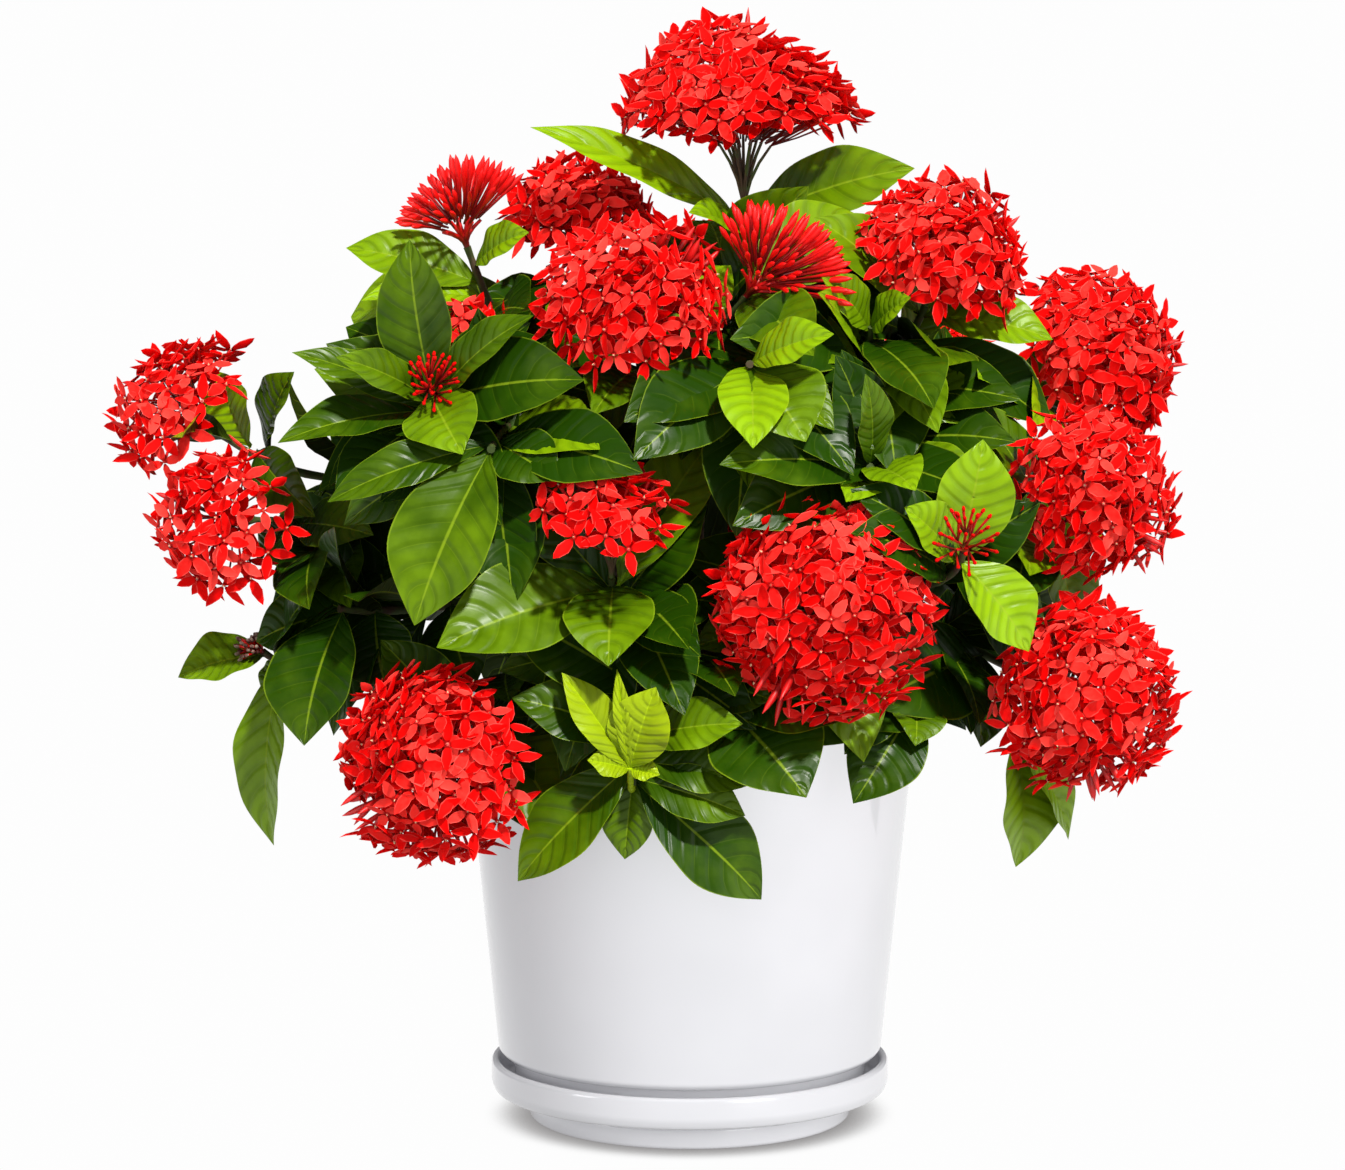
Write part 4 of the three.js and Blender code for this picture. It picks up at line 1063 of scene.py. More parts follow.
def clear_of_flowers(leaf):
    """Whether sample points along a leaf stay within the crown and out of the heads and pot."""
    u = np.linspace(0.15, 1, 8)[:, None]
    points = leaf.base + (leaf.tip - leaf.base) * u
    points = points + leaf_facing(leaf.base, unit(leaf.tip - leaf.base)) * 6 * u * (1 - u)
    for shoot in SHOOTS:
        if shoot.kind == "head":
            gaps = np.linalg.norm(points - np.array(shoot.at), axis=1)
            if gaps.min() < HEAD_SHARE * shoot.radius:
                return False
    reach = np.hypot(points[:, 0], points[:, 1])
    heights = points[:, 2]
    if np.any((heights < RIM_HEIGHT) & (reach < RIM_REACH)) or heights.min() < LOWEST_LEAF:
        return False
    within = (points - np.array(CROWN_CENTRE)) / np.array(CROWN_REACH)
    return bool(np.all((within ** 2).sum(axis=1) < 1))


# Leaves that hide the rim of the pot, the trunk and the soil: shoot, place along it, tip and
# width.
SCREEN_LEAVES = (
    ("front_left", 0.5, (-65, -108, 223), 36),
    ("front_left", 0.42, (-88, -100, 227), 34),
    ("front_low", 0.4, (-92, -110, 244), 34),
    ("left_skirt", 0.4, (-107, -90, 231), 38),
    ("front_low", 0.45, (-62, -120, 186), 38),
    ("front_left", 0.6, (-82, -110, 168), 36),
    ("back_skirt_left", 0.37, (-4, 118, 222), 38),
    ("back_skirt_left", 0.45, (-28, 132, 228), 38),
    ("back_low", 0.37, (-10, 116, 226), 36),
    ("back_low", 0.4, (-18, 128, 312), 38),
    ("back_middle", 0.37, (-14, 126, 306), 38),
    ("back_middle", 0.4, (20, 138, 312), 36),
    ("back_left", 0.38, (-22, 122, 296), 36),
    ("back_skirt_right", 0.38, (48, 118, 226), 38),
    ("back_skirt_right", 0.5, (86, 122, 222), 40),
    ("back_right", 0.38, (50, 122, 292), 36),
    ("left_low", 0.36, (-128, 34, 224), 38),
    ("left_skirt", 0.36, (-118, 14, 222), 36),
    ("far_left", 0.36, (-122, 58, 300), 38),
    ("left_middle", 0.36, (-124, 30, 268), 36),
    ("left_crown", 0.36, (-104, 34, 332), 34),
    ("right_upper", 0.36, (82, 66, 366), 36),
    ("right_upper", 0.42, (120, 86, 362), 36),
    ("back_right", 0.36, (34, 46, 366), 34),
)
# Painted shade: the screen leaves take a deep tone for the shade inside the crown.
SCREEN_SHADE_TONE = 0.15

# Where pairs of inner leaves stand along a shoot, the first ones kept first, and their width as a
# share of their length.
INNER_PLACES = (0.5, 0.36, 0.76, 0.6, 0.9, 0.43, 0.68, 0.83)
INNER_WIDTH = 0.48
# Salts that keep the draws of the inner leaves apart from those of the shoots.
INNER_SALT = 40
BLADE_SALT = 50


def inner_leaves():
    """The leaves of the screen, and then pairs of leaves by the common rule on every shoot, where
    they stay within the crown and clear of the heads and the pot."""
    curves = {shoot.name: shoot_curve(shoot) for shoot in SHOOTS}
    found = [
        (-1, Leaf(twig_point(curves[name], place), np.array(tip, float), width, SCREEN_SHADE_TONE))
        for name, place, tip, width in SCREEN_LEAVES
    ]
    for number, shoot in enumerate(SHOOTS):
        for order, place in enumerate(INNER_PLACES):
            pair = pair_leaves(curves[shoot.name], place, order + 1, number + INNER_SALT)
            for base, tip, draw in pair:
                width = np.linalg.norm(tip - base) * INNER_WIDTH
                # Painted shade: the inner leaves take a deep tone for the shade inside the crown.
                leaf = Leaf(base, tip, width, 0.2 * draw - 0.1)
                if clear_of_flowers(leaf):
                    found.append((order, leaf))
    found.sort(key=lambda item: item[0])
    return [leaf for _, leaf in found[:bpy.context.scene.ixora_sizes.inner_leaves]]


# --------------------------------------------------------------------- florets and buds


def shaken(numbers, salt):
    """Three draws between -0.5 and 0.5 for each number."""
    return np.stack([scatter(numbers, salt + k) - 0.5 for k in range(3)], axis=1)


def frames_about(axes, spins):
    """Three axes for each direction: two square to it, turned by the spin, and itself."""
    reference = np.where(np.abs(axes[:, 2:]) < 0.9, UP, np.array([0.0, 1.0, 0.0]))
    first = unit(np.cross(axes, reference))
    second = np.cross(axes, first)
    turn = np.cos(spins)[:, None] * first + np.sin(spins)[:, None] * second
    return turn, np.cross(axes, turn), axes


# A petal's stations along its length, half its width at each, and for each of its points the
# distance from its middle line.
PETAL_STATIONS = np.array([0.07, 0.26, 0.53, 0.84])
PETAL_HALVES = np.array([0.05, 0.17, 0.21, 0.11])
PETAL_SIDES = np.append(np.outer(PETAL_HALVES, [-1, 0, 1, 0]).ravel(), 0.0)


def floret_shape():
    """Four ovate petals round a small throat, for a floret that reaches 1. Each petal is a closed
    blade with its margins raised: at each station its left edge, upper middle, right edge and
    lower middle, and a point at the tip."""
    stations = len(PETAL_STATIONS)
    raised = 0.1 * PETAL_HALVES
    zero = np.zeros(stations)
    ring = np.stack([
        np.stack([PETAL_STATIONS, -PETAL_HALVES, raised], axis=1),
        np.stack([PETAL_STATIONS, zero, -0.25 * PETAL_HALVES], axis=1),
        np.stack([PETAL_STATIONS, PETAL_HALVES, raised], axis=1),
        np.stack([PETAL_STATIONS, zero, -0.25 * PETAL_HALVES - 0.035], axis=1),
    ], axis=1).reshape(-1, 3)
    petal = np.concatenate([ring, [[1.0, 0.0, 0.0]]])
    rows = np.arange(stations * 4).reshape(stations, 4)
    edges = ((0, 1), (1, 2), (2, 3), (3, 0))
    sides = [
        np.stack([rows[:-1, a], rows[1:, a], rows[1:, b], rows[:-1, b]], axis=1)
        for a, b in edges
    ]
    ends = [[rows[-1, a], stations * 4, rows[-1, b], -1] for a, b in edges]
    faces = np.concatenate([*sides, ends, [[0, 1, 2, 3]]])
    along = np.append(np.repeat(PETAL_STATIONS, 4), 1.0)
    across = np.append(np.tile([0.0, 0.5, 1.0, 0.5], stations), 0.5)
    shares = np.stack([along, across], axis=1)
    turns = np.arange(4) * math.pi / 2
    swing = np.array([
        [np.cos(turns), -np.sin(turns), 0 * turns], [np.sin(turns), np.cos(turns), 0 * turns],
        [0 * turns, 0 * turns, 1 + 0 * turns],
    ])
    petals = np.einsum("ijk,pj->kpi", swing, petal).reshape(-1, 3)
    offsets = (np.arange(4) * len(petal))[:, None, None]
    return petals, shifted(faces[None], offsets).reshape(-1, 4), np.tile(shares, (4, 1))


# The anther's bead in a throat, for a floret that reaches 1.
BEAD = np.array([
    [0.04, 0, 0.02], [0, 0.04, 0.02], [-0.04, 0, 0.02], [0, -0.04, 0.02],
    [0, 0, -0.05], [0, 0, 0.1],
])
BEAD_FACES = np.array([
    [0, 1, 5, -1], [1, 2, 5, -1], [2, 3, 5, -1], [3, 0, 5, -1],
    [1, 0, 4, -1], [2, 1, 4, -1], [3, 2, 4, -1], [0, 3, 4, -1],
])

# The radius of a floret's tube from its root to its mouth, in millimetres.
TUBE_RADII = np.array([0.45, 0.45, 0.55, 1.0])


def floret_surfaces(mouths, axes, roots, salt, shade=0.0):
    """Florets at `mouths` that look along `axes`, with tubes from `roots`, painted deeper in colour
    as
    `shade` grows: painted shade for florets that lie under others. A petal's height above the
    throat at the distance r from it is
        cup r^2 + twist r s, where s is the distance from the petal's middle line, so that it opens
        flat, cups, turns back or twists by its own draw."""
    numbers = np.arange(len(mouths))
    petals_each = numbers[:, None] * 4 + np.arange(4)
    spins = scatter(numbers, salt + 2) * math.pi * 2
    cups = 0.5 * scatter(numbers, salt + 3)[:, None] - 0.28 + 0.3 * scatter(petals_each, salt + 14)
    twists = 1.6 * (scatter(petals_each, salt + 15) - 0.5)
    reach = fine_size("floret_radius") * (0.86 + 0.26 * scatter(numbers, salt + 4))
    first, second, third = frames_about(axes, spins)
    petals, faces, shares = floret_shape()
    every = len(petals) // 4
    along = np.hypot(petals[:, 0], petals[:, 1])
    from_middle = np.tile(PETAL_SIDES, 4)
    bent = np.repeat(cups, every, axis=1) * along ** 2
    bent = bent + np.repeat(twists, every, axis=1) * along * from_middle

    def placed(shape, bend):
        height = shape[None, :, 2] + bend
        local = (
            shape[None, :, :1] * first[:, None] + shape[None, :, 1:2] * second[:, None]
            + height[..., None] * third[:, None]
        )
        return mouths[:, None] + reach[:, None, None] * local

    t = np.linspace(0, 1, 4)[None, :, None]
    bow = np.cross(third, first)[:, None] * (2.0 * np.sin(math.pi * t))
    lines = roots[:, None] + (mouths - roots)[:, None] * t + bow
    # A random tone, lowered by painted shade on a shaded layer.
    tones = scatter(numbers, salt + 5) * (1 - shade) - 0.3 * shade
    return [
        repeat_surface(placed(petals, bent), faces, shares, tones, 0.0, 0),
        tubes(lines, TUBE_RADII, first, sides=5, tones=tones, material=1),
        repeat_surface(placed(BEAD, 0.0), BEAD_FACES, np.full((6, 2), 0.5), tones, 0.0, 2),
    ]


def cap_directions(axis, cap, count, salt, loose):
    """Directions on an even spiral over a cap of `cap` degrees round the axis, each shaken by up
    to `loose`: the polar angle is acos(1 - depth (i + 0.5) / count)."""
    numbers = np.arange(count)
    depth = 1 - math.cos(math.radians(cap))
    polar = np.arccos(1 - depth * (numbers + 0.5) / count)
    turn = numbers * GOLDEN_ANGLE + salt
    first, second, _ = frames_about(axis[None], np.zeros(1))
    out = np.cos(turn)[:, None] * first + np.sin(turn)[:, None] * second
    return unit(
        np.cos(polar)[:, None] * axis + np.sin(polar)[:, None] * out
        + shaken(numbers, salt + 6) * loose
    )


# Places along a bud and how thick it is at each, as a share of its widest.
BUD_PLACES = np.array([0, 0.3, 0.52, 0.67, 0.8, 0.91, 1.0])
BUD_GIRTHS = np.array([0.4, 0.36, 0.46, 0.84, 1.0, 0.66, 0.06])


def bud_surfaces(roots, tips, axis, thickness, salt, material=1):
    """Slim clubs: the radius along a bud is thin for half its length, swells to its widest at
    0.8 and closes to a long point. Each runs on the quadratic curve from its root to its tip,
    whose middle is moved along the cluster's axis and a little to one side."""
    numbers = np.arange(len(roots))
    thickness = thickness * (0.8 + 0.4 * scatter(numbers, salt + 9))
    reach = np.linalg.norm(tips - roots, axis=1)[:, None]
    middles = (roots + tips) / 2 + axis * reach * 0.06 + shaken(numbers, salt + 30) * reach * 0.22
    lines = bowed(roots[:, None], middles[:, None], tips[:, None], BUD_PLACES[None, :, None])
    tones = scatter(numbers, salt + 5)
    normal = unit(axis + 0.01 * UP + 0.02)
    return tubes(lines, thickness[:, None] * BUD_GIRTHS, normal, 6, tones, material)


def stalk_surfaces(start, ends, radii, salt, material=1):
    """Stalks that fan out from one point to each of the ends, on quadratic curves which share
    their middle."""
    middle = start + np.mean(ends - start, axis=0) * 0.45
    lines = bowed(start, middle, ends[:, None], np.linspace(0, 1, 5)[None, :, None])
    normal = unit(np.cross(unit(ends - start), UP + 0.01))
    tones = scatter(np.arange(len(ends)), salt)
    return tubes(lines, np.linspace(*radii, 5), normal, 6, tones, material)


def nearest_of(knots, points):
    """The knot nearest to each point."""
    gaps = np.linalg.norm(points[:, None] - knots[None], axis=2)
    return knots[np.argmin(gaps, axis=1)]


# Radii of the stalks of a head and of a cluster of buds, at their foot and their end.
STALK_RADII = (1.3, 0.7)
BUD_STALK_RADII = (1.5, 0.8)

# A head: how far short of its rim the mouths end, in spacings; the share of its florets that are
# still closed, and how far those reach; and its branching points, their number and reach. A
# sparse head has its florets further apart. Then the lower layer: how many florets it has for each
# one above, how far out they stand, and how much painted shade darkens them.
RIM_SHARE = 0.6
CLOSED_SHARE = 0.07
CLOSED_REACH = 1.08
KNOTS = 11
KNOT_REACH = 0.22
SPARSE_SPACING = 1.14
LOWER_SHARE = 0.7
SPARSE_LOWER_SHARE = 0.3
LOWER_REACH = 0.68
LOWER_SHADE = 0.9
LOWER_SALT = 21


def head_surfaces(shoot, salt):
    """A dome of florets on branching stalks, over a lower layer of florets in its shade, which are
    painted darker for that shade. The mouths end short of the rim of the cap, and the petals reach
    it."""
    centre = np.array(shoot.at, float)
    end, axis = shoot_end(shoot)
    spacing = fine_size("floret_spacing") * (SPARSE_SPACING if shoot.sparse else 1.0)
    rim = shoot.cap - math.degrees(RIM_SHARE * spacing / shoot.radius)
    depth = 1 - math.cos(math.radians(rim))
    count = round(2 * math.pi * shoot.radius ** 2 * depth / spacing ** 2)
    directions = cap_directions(axis, rim, count, salt, loose=0.16)
    numbers = np.arange(count)
    lumps = np.sin(directions @ np.array([[4.1, 1.2], [-2.3, 4.6], [3.4, -2.9]]) + salt)
    lifts = shoot.radius * (0.83 + 0.16 * scatter(numbers, salt + 1) + 0.03 * lumps.sum(axis=1))
    mouths = centre + directions * lifts[:, None]
    looks = unit(directions + shaken(numbers, salt + 10) * 0.95)
    forks = cap_directions(axis, cap=80, count=KNOTS, salt=salt, loose=0.1)
    knots = centre + forks * (KNOT_REACH * shoot.radius)
    roots = nearest_of(knots, mouths)
    closed = scatter(numbers, salt + 13) < CLOSED_SHARE
    parts = floret_surfaces(mouths[~closed], looks[~closed], roots[~closed], salt)
    if closed.any():
        tips = centre + directions[closed] * (shoot.radius * CLOSED_REACH)
        parts.append(bud_surfaces(roots[closed], tips, axis, fine_size("bud_radius"), salt))
    below = round(count * (SPARSE_LOWER_SHARE if shoot.sparse else LOWER_SHARE))
    under = cap_directions(axis, rim - 3, below, salt + LOWER_SALT, loose=0.2)
    lower = centre + under * (LOWER_REACH * shoot.radius)
    facing = unit(under + axis * 0.7)
    feet = centre + under * (0.2 * shoot.radius)
    parts += floret_surfaces(lower, facing, feet, salt + LOWER_SALT, LOWER_SHADE)
    parts.append(stalk_surfaces(end + axis * GAP, knots, STALK_RADII, salt, material=3))
    return parts


def bud_cluster_surfaces(shoot, salt):
    """A fan of closed buds on branching stalks."""
    foot = np.array(shoot.at, float)
    _, axis = shoot_end(shoot)
    count = bpy.context.scene.ixora_sizes.buds
    directions = cap_directions(axis, shoot.cap, count, salt, loose=0.1)
    numbers = np.arange(count)
    tips = foot + directions * shoot.radius * (0.66 + 0.34 * scatter(numbers, salt + 1))[:, None]
    roots = foot + directions * (0.24 * shoot.radius) + axis * (0.1 * shoot.radius)
    forks = cap_directions(axis, cap=50, count=12, salt=salt, loose=0.1)
    knots = foot + forks * (0.3 * shoot.radius)
    return [
        bud_surfaces(roots, tips, axis, fine_size("bud_radius"), salt, material=0),
        stalk_surfaces(foot, knots, BUD_STALK_RADII, salt),
    ]


SPENT_STALKS = 34
# Radii of a spent stalk, and the places and radii of the bead at its end, in millimetres.
SPENT_RADII = np.array([0.6, 0.55, 0.6, 0.8])
BEAD_PLACES = np.array([[[0], [1.3], [2.6]]])
BEAD_RADII = np.array([0.7, 1.05, 0.5])
# A spent cluster that reaches less than this has dried, in millimetres.
DRIED_REACH = 20


def spent_surfaces(shoot, salt):
    """Bare stalks that each end in a bead: a red one, or a dried calyx on the small cluster."""
    foot = np.array(shoot.at, float)
    _, axis = shoot_end(shoot)
    directions = cap_directions(axis, shoot.cap, SPENT_STALKS, salt, loose=0.2)
    numbers = np.arange(SPENT_STALKS)
    ends = foot + directions * shoot.radius * (0.55 + 0.42 * scatter(numbers, salt + 1))[:, None]
    forks = cap_directions(axis, cap=40, count=7, salt=salt, loose=0.1)
    knots = foot + forks * (0.3 * shoot.radius)
    roots = nearest_of(knots, ends)
    t = np.linspace(0, 1, 4)[None, :, None]
    lines = roots[:, None] + (ends - roots)[:, None] * t
    beads = ends[:, None] + unit(ends - roots)[:, None] * BEAD_PLACES
    normal = unit(np.cross(directions, axis + 0.01))
    finish = 2 if shoot.radius < DRIED_REACH else 0
    return [
        tubes(lines, SPENT_RADII, normal, sides=5, material=1),
        stalk_surfaces(foot, knots, STALK_RADII, salt),
        tubes(beads, BEAD_RADII, normal, sides=6, material=finish),
    ]


# ------------------------------------------------------------------------------ operators

# Profiles as [radius, height] in millimetres, up the outside. The pot's comes down again inside,
# round the drain hole in its floor.
SAUCER = np.array([
    [0, 0.4], [71, 0.4], [73, 0], [80.5, 0], [81.5, 1.2], [81.5, 9.4], [80.7, 10.2],
    [81.5, 11], [81.5, 12.4], [94, 12.8], [99.4, 14.4], [101, 18.5], [101, 28.4],
    [99.8, 30], [97.8, 30], [96.8, 28.6], [96, 19], [93, 17], [0, 17],
])
POT = np.array([
    [8, 20.3], [74, 20.3], [77, 17.3], [88, 17.3], [89, 18.3], [89, 32.2], [94.9, 32.8],
    [97.3, 35.4], [115, 212.6], [114.2, 215], [111.8, 215], [110.7, 212.8], [94.1, 42],
    [85, 28], [8, 27], [8, 20.3],
])
SOIL = np.array([
    [0, 27.5], [84, 28.5], [93.5, 42.5], [109.3, 203], [55, 205], [8.5, 205],
    [8.5, 155], [0, 155],
])
# The crumbled part of the soil: above this height, outside the trunk's socket and inside the pot.
CRUMBS_ABOVE = 202
CRUMBS_WITHIN = (10, 108)
CRUMB_HEIGHT = 1.3

# Edges sharper than this many degrees stay sharp on the pottery, on wood and on flowers.
POTTERY_SHARP = 40
WOOD_SHARP = 60
FLOWER_SHARP = 75

# Radii at the start and the end of each kind of stem.
TRUNK_RADII = (8, 6.6)
LIMB_RADII = (6, 3.8)
WOODY_FOOT_RADII = (3.6, 2.6)
TWIG_RADII = (2.5, 1.8)
YOUNG_RADII = (1.8, 1.4)
# A limb begins this far below the trunk's top, and the middle of its curve is at this share of the
# way out to its fork and of the way up.
LIMB_SUNK = 6
LIMB_SPREAD = 0.55
LIMB_RISE = 0.35


class IXORA_OT_glazed_pot(bpy.types.Operator):
    """Turn the smooth glazed pot and its saucer"""

    bl_idname = "ixora.glazed_pot"
    bl_label = "Pot and Saucer"

    def execute(self, context):
        glaze = glaze_material()
        for node, profile, corner, step in (("saucer", SAUCER, 1.6, 12), ("pot", POT, 1.4, 15)):
            points, faces = turned(refined(rounded(profile, corner, steps=6), step), sides=160)
            make_piece(
                f"glazed_{node}", [surface(points, faces)], [glaze], [node], POTTERY_SHARP
            )
        return {"FINISHED"}


class IXORA_OT_soil(bpy.types.Operator):
    """Fill the pot with crumbled soil"""

    bl_idname = "ixora.soil"
    bl_label = "Soil"

    def execute(self, context):
        points, faces = turned(refined(SOIL, longest=3), sides=180)
        reach = np.hypot(points[:, 0], points[:, 1])
        lumps = (
            np.sin(points[:, 0] * 0.31 + 1.7) * np.sin(points[:, 1] * 0.27)
            + 0.6 * np.sin(points[:, 0] * 0.83) * np.sin(points[:, 1] * 0.71 + 0.6)
            + 0.4 * np.sin(points[:, 0] * 1.9 + points[:, 1] * 1.3)
        )
        inner, outer = CRUMBS_WITHIN
        top = (points[:, 2] > CRUMBS_ABOVE) & (reach > inner) & (reach < outer)
        points[:, 2] = np.where(top, points[:, 2] + CRUMB_HEIGHT * lumps, points[:, 2])
        ground = surface(points, faces)
        make_piece("potting_soil", [ground], [soil_material()], ["soil"])
        return {"FINISHED"}


class IXORA_OT_woody_stems(bpy.types.Operator):
    """Grow the trunk, its limbs and the woody foot of every shoot"""

    bl_idname = "ixora.woody_stems"
    bl_label = "Woody Stems"

    def execute(self, context):
        foot = np.array([0.0, 0.0, SOIL_CROWN - SOCKET_DEPTH + GAP])
        trunk = np.array([foot, [0.5, 0, SOIL_CROWN], [0, 0, TRUNK_TOP]])
        places = np.linspace(0, 1, 16)
        knobs = 1 + 0.05 * np.sin(places * 23)
        parts = [
            tubes(
                curve_point(trunk, places)[None], np.linspace(*TRUNK_RADII, 16) * knobs,
                np.array([0.0, 1.0, 0.0]), sides=20,
            ),
        ]
        top = UP * TRUNK_TOP
        for place in FORKS.values():
            fork = np.array(place, float)
            middle = np.array([fork[0] * LIMB_SPREAD, fork[1] * LIMB_SPREAD, 0]) + top
            middle = middle + UP * (fork[2] - TRUNK_TOP) * LIMB_RISE
            limb = np.array([top - UP * LIMB_SUNK, middle, fork])
            parts.append(self.branch(limb, 1, LIMB_RADII))
        for shoot in SHOOTS:
            parts.append(self.branch(shoot_curve(shoot), WOODY_SHARE, WOODY_FOOT_RADII))
        make_piece("woody_growth", parts, [bark_material()], ["woody_stems"], WOOD_SHARP)
        return {"FINISHED"}

    def branch(self, curve, end, radii):
        """A limb from the start of its curve to the place `end` on it, with knobs in its bark."""
        places = np.linspace(0, end, 14)
        knobs = 1 + 0.09 * np.sin(np.linspace(0, 1, 14) * 19 + curve[2][0])
        centres = curve_point(curve, places)[None]
        return tubes(centres, np.linspace(*radii, 14) * knobs, across_of(curve), sides=10)


class IXORA_OT_leafy_shoots(bpy.types.Operator):
    """Grow the full leaves of every shoot on its green twig"""

    bl_idname = "ixora.leafy_shoots"
    bl_label = "Leafy Shoots"

    def execute(self, context):
        foliage = leaf_material(
            "leaf_blade", tint("leaf_deep"), tint("leaf_bright"), tint("leaf_vein"),
            tint("leaf_under"), gloss=0.26,
        )
        twig = twig_material()
        for number, shoot in enumerate(SHOOTS):
            node = f"shoot_{shoot.name}"
            leaves = standing_leaves(wanted_leaves(shoot, number), node)
            parts = [twig_surface(shoot_curve(shoot), WOODY_SHARE, TWIG_RADII)]
            if leaves:
                parts.append(leaf_surface(leaves, number))
            make_piece(f"leaves_{shoot.name}", parts, [foliage, twig], [node])
        return {"FINISHED"}


class IXORA_OT_inner_leaves(bpy.types.Operator):
    """Fill the shaded inside of the crown with more leaves"""

    bl_idname = "ixora.inner_leaves"
    bl_label = "Inner Leaves"

    def execute(self, context):
        foliage = bpy.data.materials["leaf_blade"]
        leaves = inner_leaves()
        third = math.ceil(len(leaves) / 3)
        for number in range(3):
            share = leaves[number * third:(number + 1) * third]
            blades = leaf_surface(share, number + BLADE_SALT, INNER_GRID)
            make_piece(f"inner_leaves_{number + 1}", [blades], [foliage])
        return {"FINISHED"}


class IXORA_OT_new_growth(bpy.types.Operator):
    """Grow the pale young leaves at the front"""

    bl_idname = "ixora.new_growth"
    bl_label = "New Growth"

    def execute(self, context):
        young = tint("new_growth")
        blade = leaf_material(
            "young_blade", shaded(young, 0.55), young, shaded(young, 1.3), shaded(young, 0.7),
            gloss=0.3,
        )
        carrier = next(shoot for shoot in SHOOTS if shoot.name == YOUNG_CARRIER)
        end, axis = shoot_end(carrier)
        start = end + axis * GAP
        curve = np.array([start, start + axis * YOUNG_DROOP, YOUNG_TIP])
        base = curve_point(curve, YOUNG_PLACE)
        leaves = [
            Leaf(base, np.array(tip, float), width, 0.6 + 0.35 * scatter(count, YOUNG_SALT))
            for count, (*tip, width) in enumerate(YOUNG_LEAVES)
        ]
        leaves = standing_leaves(leaves, "shoot_young")
        parts = [leaf_surface(leaves, YOUNG_SALT), twig_surface(curve, 0, YOUNG_RADII, 0)]
        make_piece("young_leaves", parts, [blade], ["shoot_young"])
        return {"FINISHED"}


def make_clusters(kind, title, surfaces_of, finishes):
    """One piece for every shoot that ends in this kind of cluster."""
    for number, shoot in enumerate(SHOOTS):
        if shoot.kind == kind:
            make_piece(
                f"{title}_{shoot.name}", surfaces_of(shoot, number), finishes,
                [f"head_{shoot.name}"], FLOWER_SHARP,
            )


class IXORA_OT_flower_heads(bpy.types.Operator):
    """Open every head of florets"""

    bl_idname = "ixora.flower_heads"
    bl_label = "Flower Heads"

    def execute(self, context):
        finishes = [petal_material(), stalk_material(), anther_material()]
        finishes.append(bpy.data.materials["twig_skin"])
        make_clusters("head", "florets", head_surfaces, finishes)
        return {"FINISHED"}


class IXORA_OT_bud_clusters(bpy.types.Operator):
    """Stand up the two clusters of closed buds"""

    bl_idname = "ixora.bud_clusters"
    bl_label = "Bud Clusters"

    def execute(self, context):
        finishes = [bud_material(), bpy.data.materials["red_stalk"]]
        make_clusters("buds", "buds", bud_cluster_surfaces, finishes)
        return {"FINISHED"}


class IXORA_OT_spent_clusters(bpy.types.Operator):
    """Leave the bare stalks where heads have dropped their florets"""

    bl_idname = "ixora.spent_clusters"
    bl_label = "Spent Clusters"

    def execute(self, context):
        finishes = [bpy.data.materials[name] for name in ("open_petal", "red_stalk")]
        finishes.append(calyx_material())
        make_clusters("spent", "stalks", spent_surfaces, finishes)
        return {"FINISHED"}


WHITE = (1, 1, 1)
# The white of the floor and backdrop, and the floor's shade where the saucer stands close over it.
PAPER = (0.985, 0.985, 0.985)
CONTACT_SHADE = (0.24, 0.23, 0.23)
CONTACT_REACH = 0.028
FLOOR_RADIUS = 6
BACKDROP_RADIUS = 14
SKY_POWER = 0.36

# A sun's size is its angle in degrees and a panel's is its height in metres. Each lamp falls on
# the group of pieces named last, or on everything.
Lamp = namedtuple("Lamp", "name kind place power size colour lit")
LAMPS = (
    Lamp("key_light", "SUN", (0.5, -1.1, 1.6), 4.1, 4, (1, 0.98, 0.94), "plant"),
    Lamp("bloom_fill", "SUN", (-0.5, -1.5, 0.7), 1.7, 60, WHITE, "flowers"),
    Lamp("right_panel", "AREA", (1.7, -2.3, 0.8), 72, 2.6, WHITE, "pottery"),
    Lamp("left_panel", "AREA", (-2.1, -1.1, 0.5), 12, 1.2, (0.98, 0.98, 1), "pottery"),
    Lamp("back_light", "SUN", (-0.7, 1.6, 0.9), 1.2, 40, WHITE, "everything"),
    Lamp("west_fill", "SUN", (-1.5, -0.8, 0.2), 0.5, 60, WHITE, "leaves"),
    Lamp("east_fill", "SUN", (1.6, -0.1, 0.4), 0.9, 60, WHITE, "plant"),
    Lamp("down_light", "SUN", (0, -0.2, 2), 1.4, 70, WHITE, "pottery"),
)
# A panel's width as a share of its height.
PANEL_WIDTH = 0.45
LAMP_TARGET = (0.0, 0.0, 0.28)

CAMERA_PLACE = (-0.00875, -2.4, 0.570)
CAMERA_TARGET = (-0.00875, 0.0, 0.271)
CAMERA_LENS = 128.5
CAMERA_SENSOR = 36.0


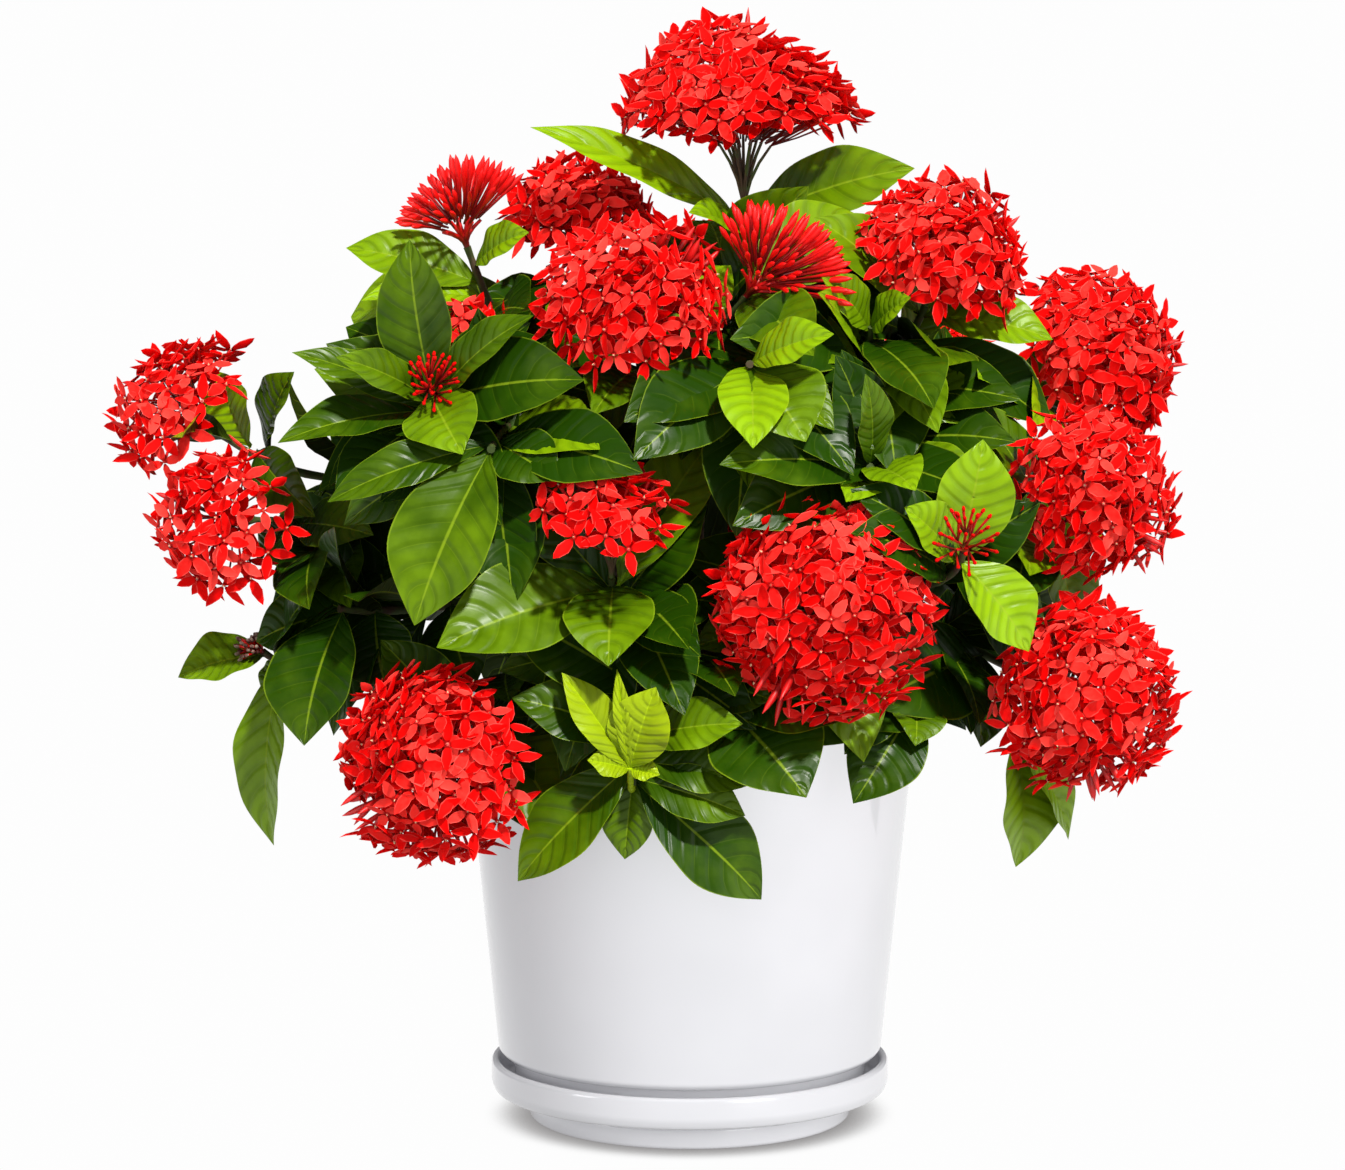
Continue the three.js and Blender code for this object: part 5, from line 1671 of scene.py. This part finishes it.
class IXORA_OT_stage(bpy.types.Operator):
    """Set the pale floor, the backdrop, the soft lights and the camera"""

    bl_idname = "ixora.stage"
    bl_label = "Stage"

    def execute(self, context):
        self.floor()
        self.backdrop()
        self.sky(context.scene)
        lamps = {lamp.name: self.lamp(lamp) for lamp in LAMPS}
        lamps["back_light"].visible_glossy = False
        for title, pieces in self.groups().items():
            group = bpy.data.collections.new(title)
            for piece in pieces:
                group.objects.link(piece)
            for lamp in LAMPS:
                if lamp.lit == title:
                    self.light_alone(lamps[lamp.name], group, title == "pottery")
        self.camera(context.scene)
        return {"FINISHED"}

    def groups(self):
        """The pieces that lamps may fall on alone."""
        pieces = [thing for thing in bpy.data.objects if thing.type == "MESH"]
        pottery = [piece for piece in pieces if piece.name.startswith("glazed_")]
        flowers = [piece for piece in pieces if piece.name.startswith(("florets_", "buds_"))]
        plant = [piece for piece in pieces if piece not in pottery and piece.name != "floor"]
        leaves = [piece for piece in plant if piece.name.startswith(("leaves_", "inner_"))]
        return {"plant": plant, "flowers": flowers, "leaves": leaves, "pottery": pottery}

    def light_alone(self, lamp, group, unshaded):
        """The lamp falls on the group's pieces alone, and unshaded by others if so wanted."""
        lamp.light_linking.receiver_collection = group
        if unshaded:
            lamp.light_linking.blocker_collection = group

    def floor(self):
        """A disc whose points are (r cos a, r sin a, 0). It is white, and darkens only where
        something stands close over it."""
        angles = np.linspace(0, 2 * math.pi, 96, endpoint=False)
        rim = np.stack([np.cos(angles), np.sin(angles), angles * 0], axis=1) * FLOOR_RADIUS
        shader = Shader("floor")
        reach = {"Distance": CONTACT_REACH}
        near = shader.node("ShaderNodeAmbientOcclusion", {"samples": 16}, reach, "AO")
        shade = shader.mix(near.ramp(0.0, 0.68), CONTACT_SHADE, PAPER)
        floor = self.glowing(rim, [list(range(96))], shader, shade)
        floor.visible_diffuse = False
        floor.visible_shadow = False

    def backdrop(self):
        """A white sphere round everything, seen by the camera alone: the point at turn a and
        height angle b is radius (cos b cos a, cos b sin a, sin b)."""
        heights = np.linspace(-math.pi / 2, math.pi / 2, 33)
        profile = np.stack([np.cos(heights), np.sin(heights)], axis=1) * BACKDROP_RADIUS
        profile[[0, -1], 0] = 0
        points, faces = turned(profile, 64)
        corners = [[corner for corner in face if corner >= 0] for face in faces.tolist()]
        backdrop = self.glowing(points, corners, Shader("backdrop"), PAPER)
        for ray in ("diffuse", "glossy", "transmission", "shadow", "volume_scatter"):
            setattr(backdrop, f"visible_{ray}", False)

    def glowing(self, points, faces, shader, colour):
        """A mesh named after its shader, which gives off the colour and mirrors nothing."""
        name = shader.material.name
        mesh = bpy.data.meshes.new(name)
        mesh.from_pydata(points.tolist(), [], faces)
        mesh.materials.append(shader.finish(
            Base_Color=(0.0, 0.0, 0.0), Specular_IOR_Level=0.0, Roughness=1.0,
            Emission_Color=colour, Emission_Strength=1.0,
        ))
        return linked(name, mesh)

    def sky(self, scene):
        """An even white sky, which the glaze doesn't mirror."""
        world = bpy.data.worlds.new("sky")
        world.use_nodes = True
        background = world.node_tree.nodes["Background"]
        background.inputs["Color"].default_value = (1.0, 1.0, 1.0, 1.0)
        background.inputs["Strength"].default_value = SKY_POWER
        scene.world = world
        world.cycles_visibility.glossy = False
        scene.view_settings.view_transform = "Standard"

    def lamp(self, lamp):
        """A lamp at its place, turned to the middle of the crown."""
        light = bpy.data.lights.new(lamp.name, lamp.kind)
        light.energy = lamp.power
        light.color = lamp.colour
        if lamp.kind == "SUN":
            light.angle = math.radians(lamp.size)
        else:
            light.shape = "RECTANGLE"
            light.size = lamp.size * PANEL_WIDTH
            light.size_y = lamp.size
        made = linked(lamp.name, light)
        made.location = lamp.place
        self.aim(made, LAMP_TARGET)
        return made

    def camera(self, scene):
        """The camera at the front, level with the top of the plant and turned down to it."""
        lens = bpy.data.cameras.new("camera")
        lens.sensor_width = CAMERA_SENSOR
        lens.lens = CAMERA_LENS
        lens.clip_end = 100.0
        camera = linked("camera", lens)
        camera.location = CAMERA_PLACE
        self.aim(camera, CAMERA_TARGET)
        scene.camera = camera

    def aim(self, thing, target):
        """Turn a lamp or camera, which looks down its own -Z, to the target."""
        gap = np.array(target) - np.array(thing.location)
        thing.rotation_euler = (
            math.pi / 2 + math.atan2(gap[2], math.hypot(gap[0], gap[1])),
            0.0,
            math.atan2(gap[1], gap[0]) - math.pi / 2,
        )


OPERATORS = (
    IXORA_OT_glazed_pot,
    IXORA_OT_soil,
    IXORA_OT_woody_stems,
    IXORA_OT_leafy_shoots,
    IXORA_OT_inner_leaves,
    IXORA_OT_new_growth,
    IXORA_OT_flower_heads,
    IXORA_OT_bud_clusters,
    IXORA_OT_spent_clusters,
    IXORA_OT_stage,
)


class IXORA_PT_panel(bpy.types.Panel):
    """Lists the pieces of the potted ixora with their sizes and colours"""

    bl_label = "Potted Ixora"
    bl_idname = "IXORA_PT_panel"
    bl_space_type = "VIEW_3D"
    bl_region_type = "UI"
    bl_category = "Ixora"

    def draw(self, context):
        for group in (context.scene.ixora_sizes, context.scene.ixora_colours):
            box = self.layout.box()
            for name in group.bl_rna.properties.keys():
                if name not in {"rna_type", "name"}:
                    box.prop(group, name)
        for operator in OPERATORS:
            self.layout.operator(operator.bl_idname)


CLASSES = (IxoraSizes, IxoraColours, *OPERATORS, IXORA_PT_panel)


def register():
    for item in CLASSES:
        bpy.utils.register_class(item)
    bpy.types.Scene.ixora_sizes = bpy.props.PointerProperty(type=IxoraSizes)
    bpy.types.Scene.ixora_colours = bpy.props.PointerProperty(type=IxoraColours)


def unregister():
    del bpy.types.Scene.ixora_colours
    del bpy.types.Scene.ixora_sizes
    for item in reversed(CLASSES):
        bpy.utils.unregister_class(item)


def main():
    register()
    bpy.ops.ixora.glazed_pot()
    bpy.ops.ixora.soil()
    bpy.ops.ixora.woody_stems()
    bpy.ops.ixora.leafy_shoots()
    bpy.ops.ixora.inner_leaves()
    bpy.ops.ixora.new_growth()
    bpy.ops.ixora.flower_heads()
    bpy.ops.ixora.bud_clusters()
    bpy.ops.ixora.spent_clusters()
    bpy.ops.ixora.stage()


if __name__ == "__main__":
    main()
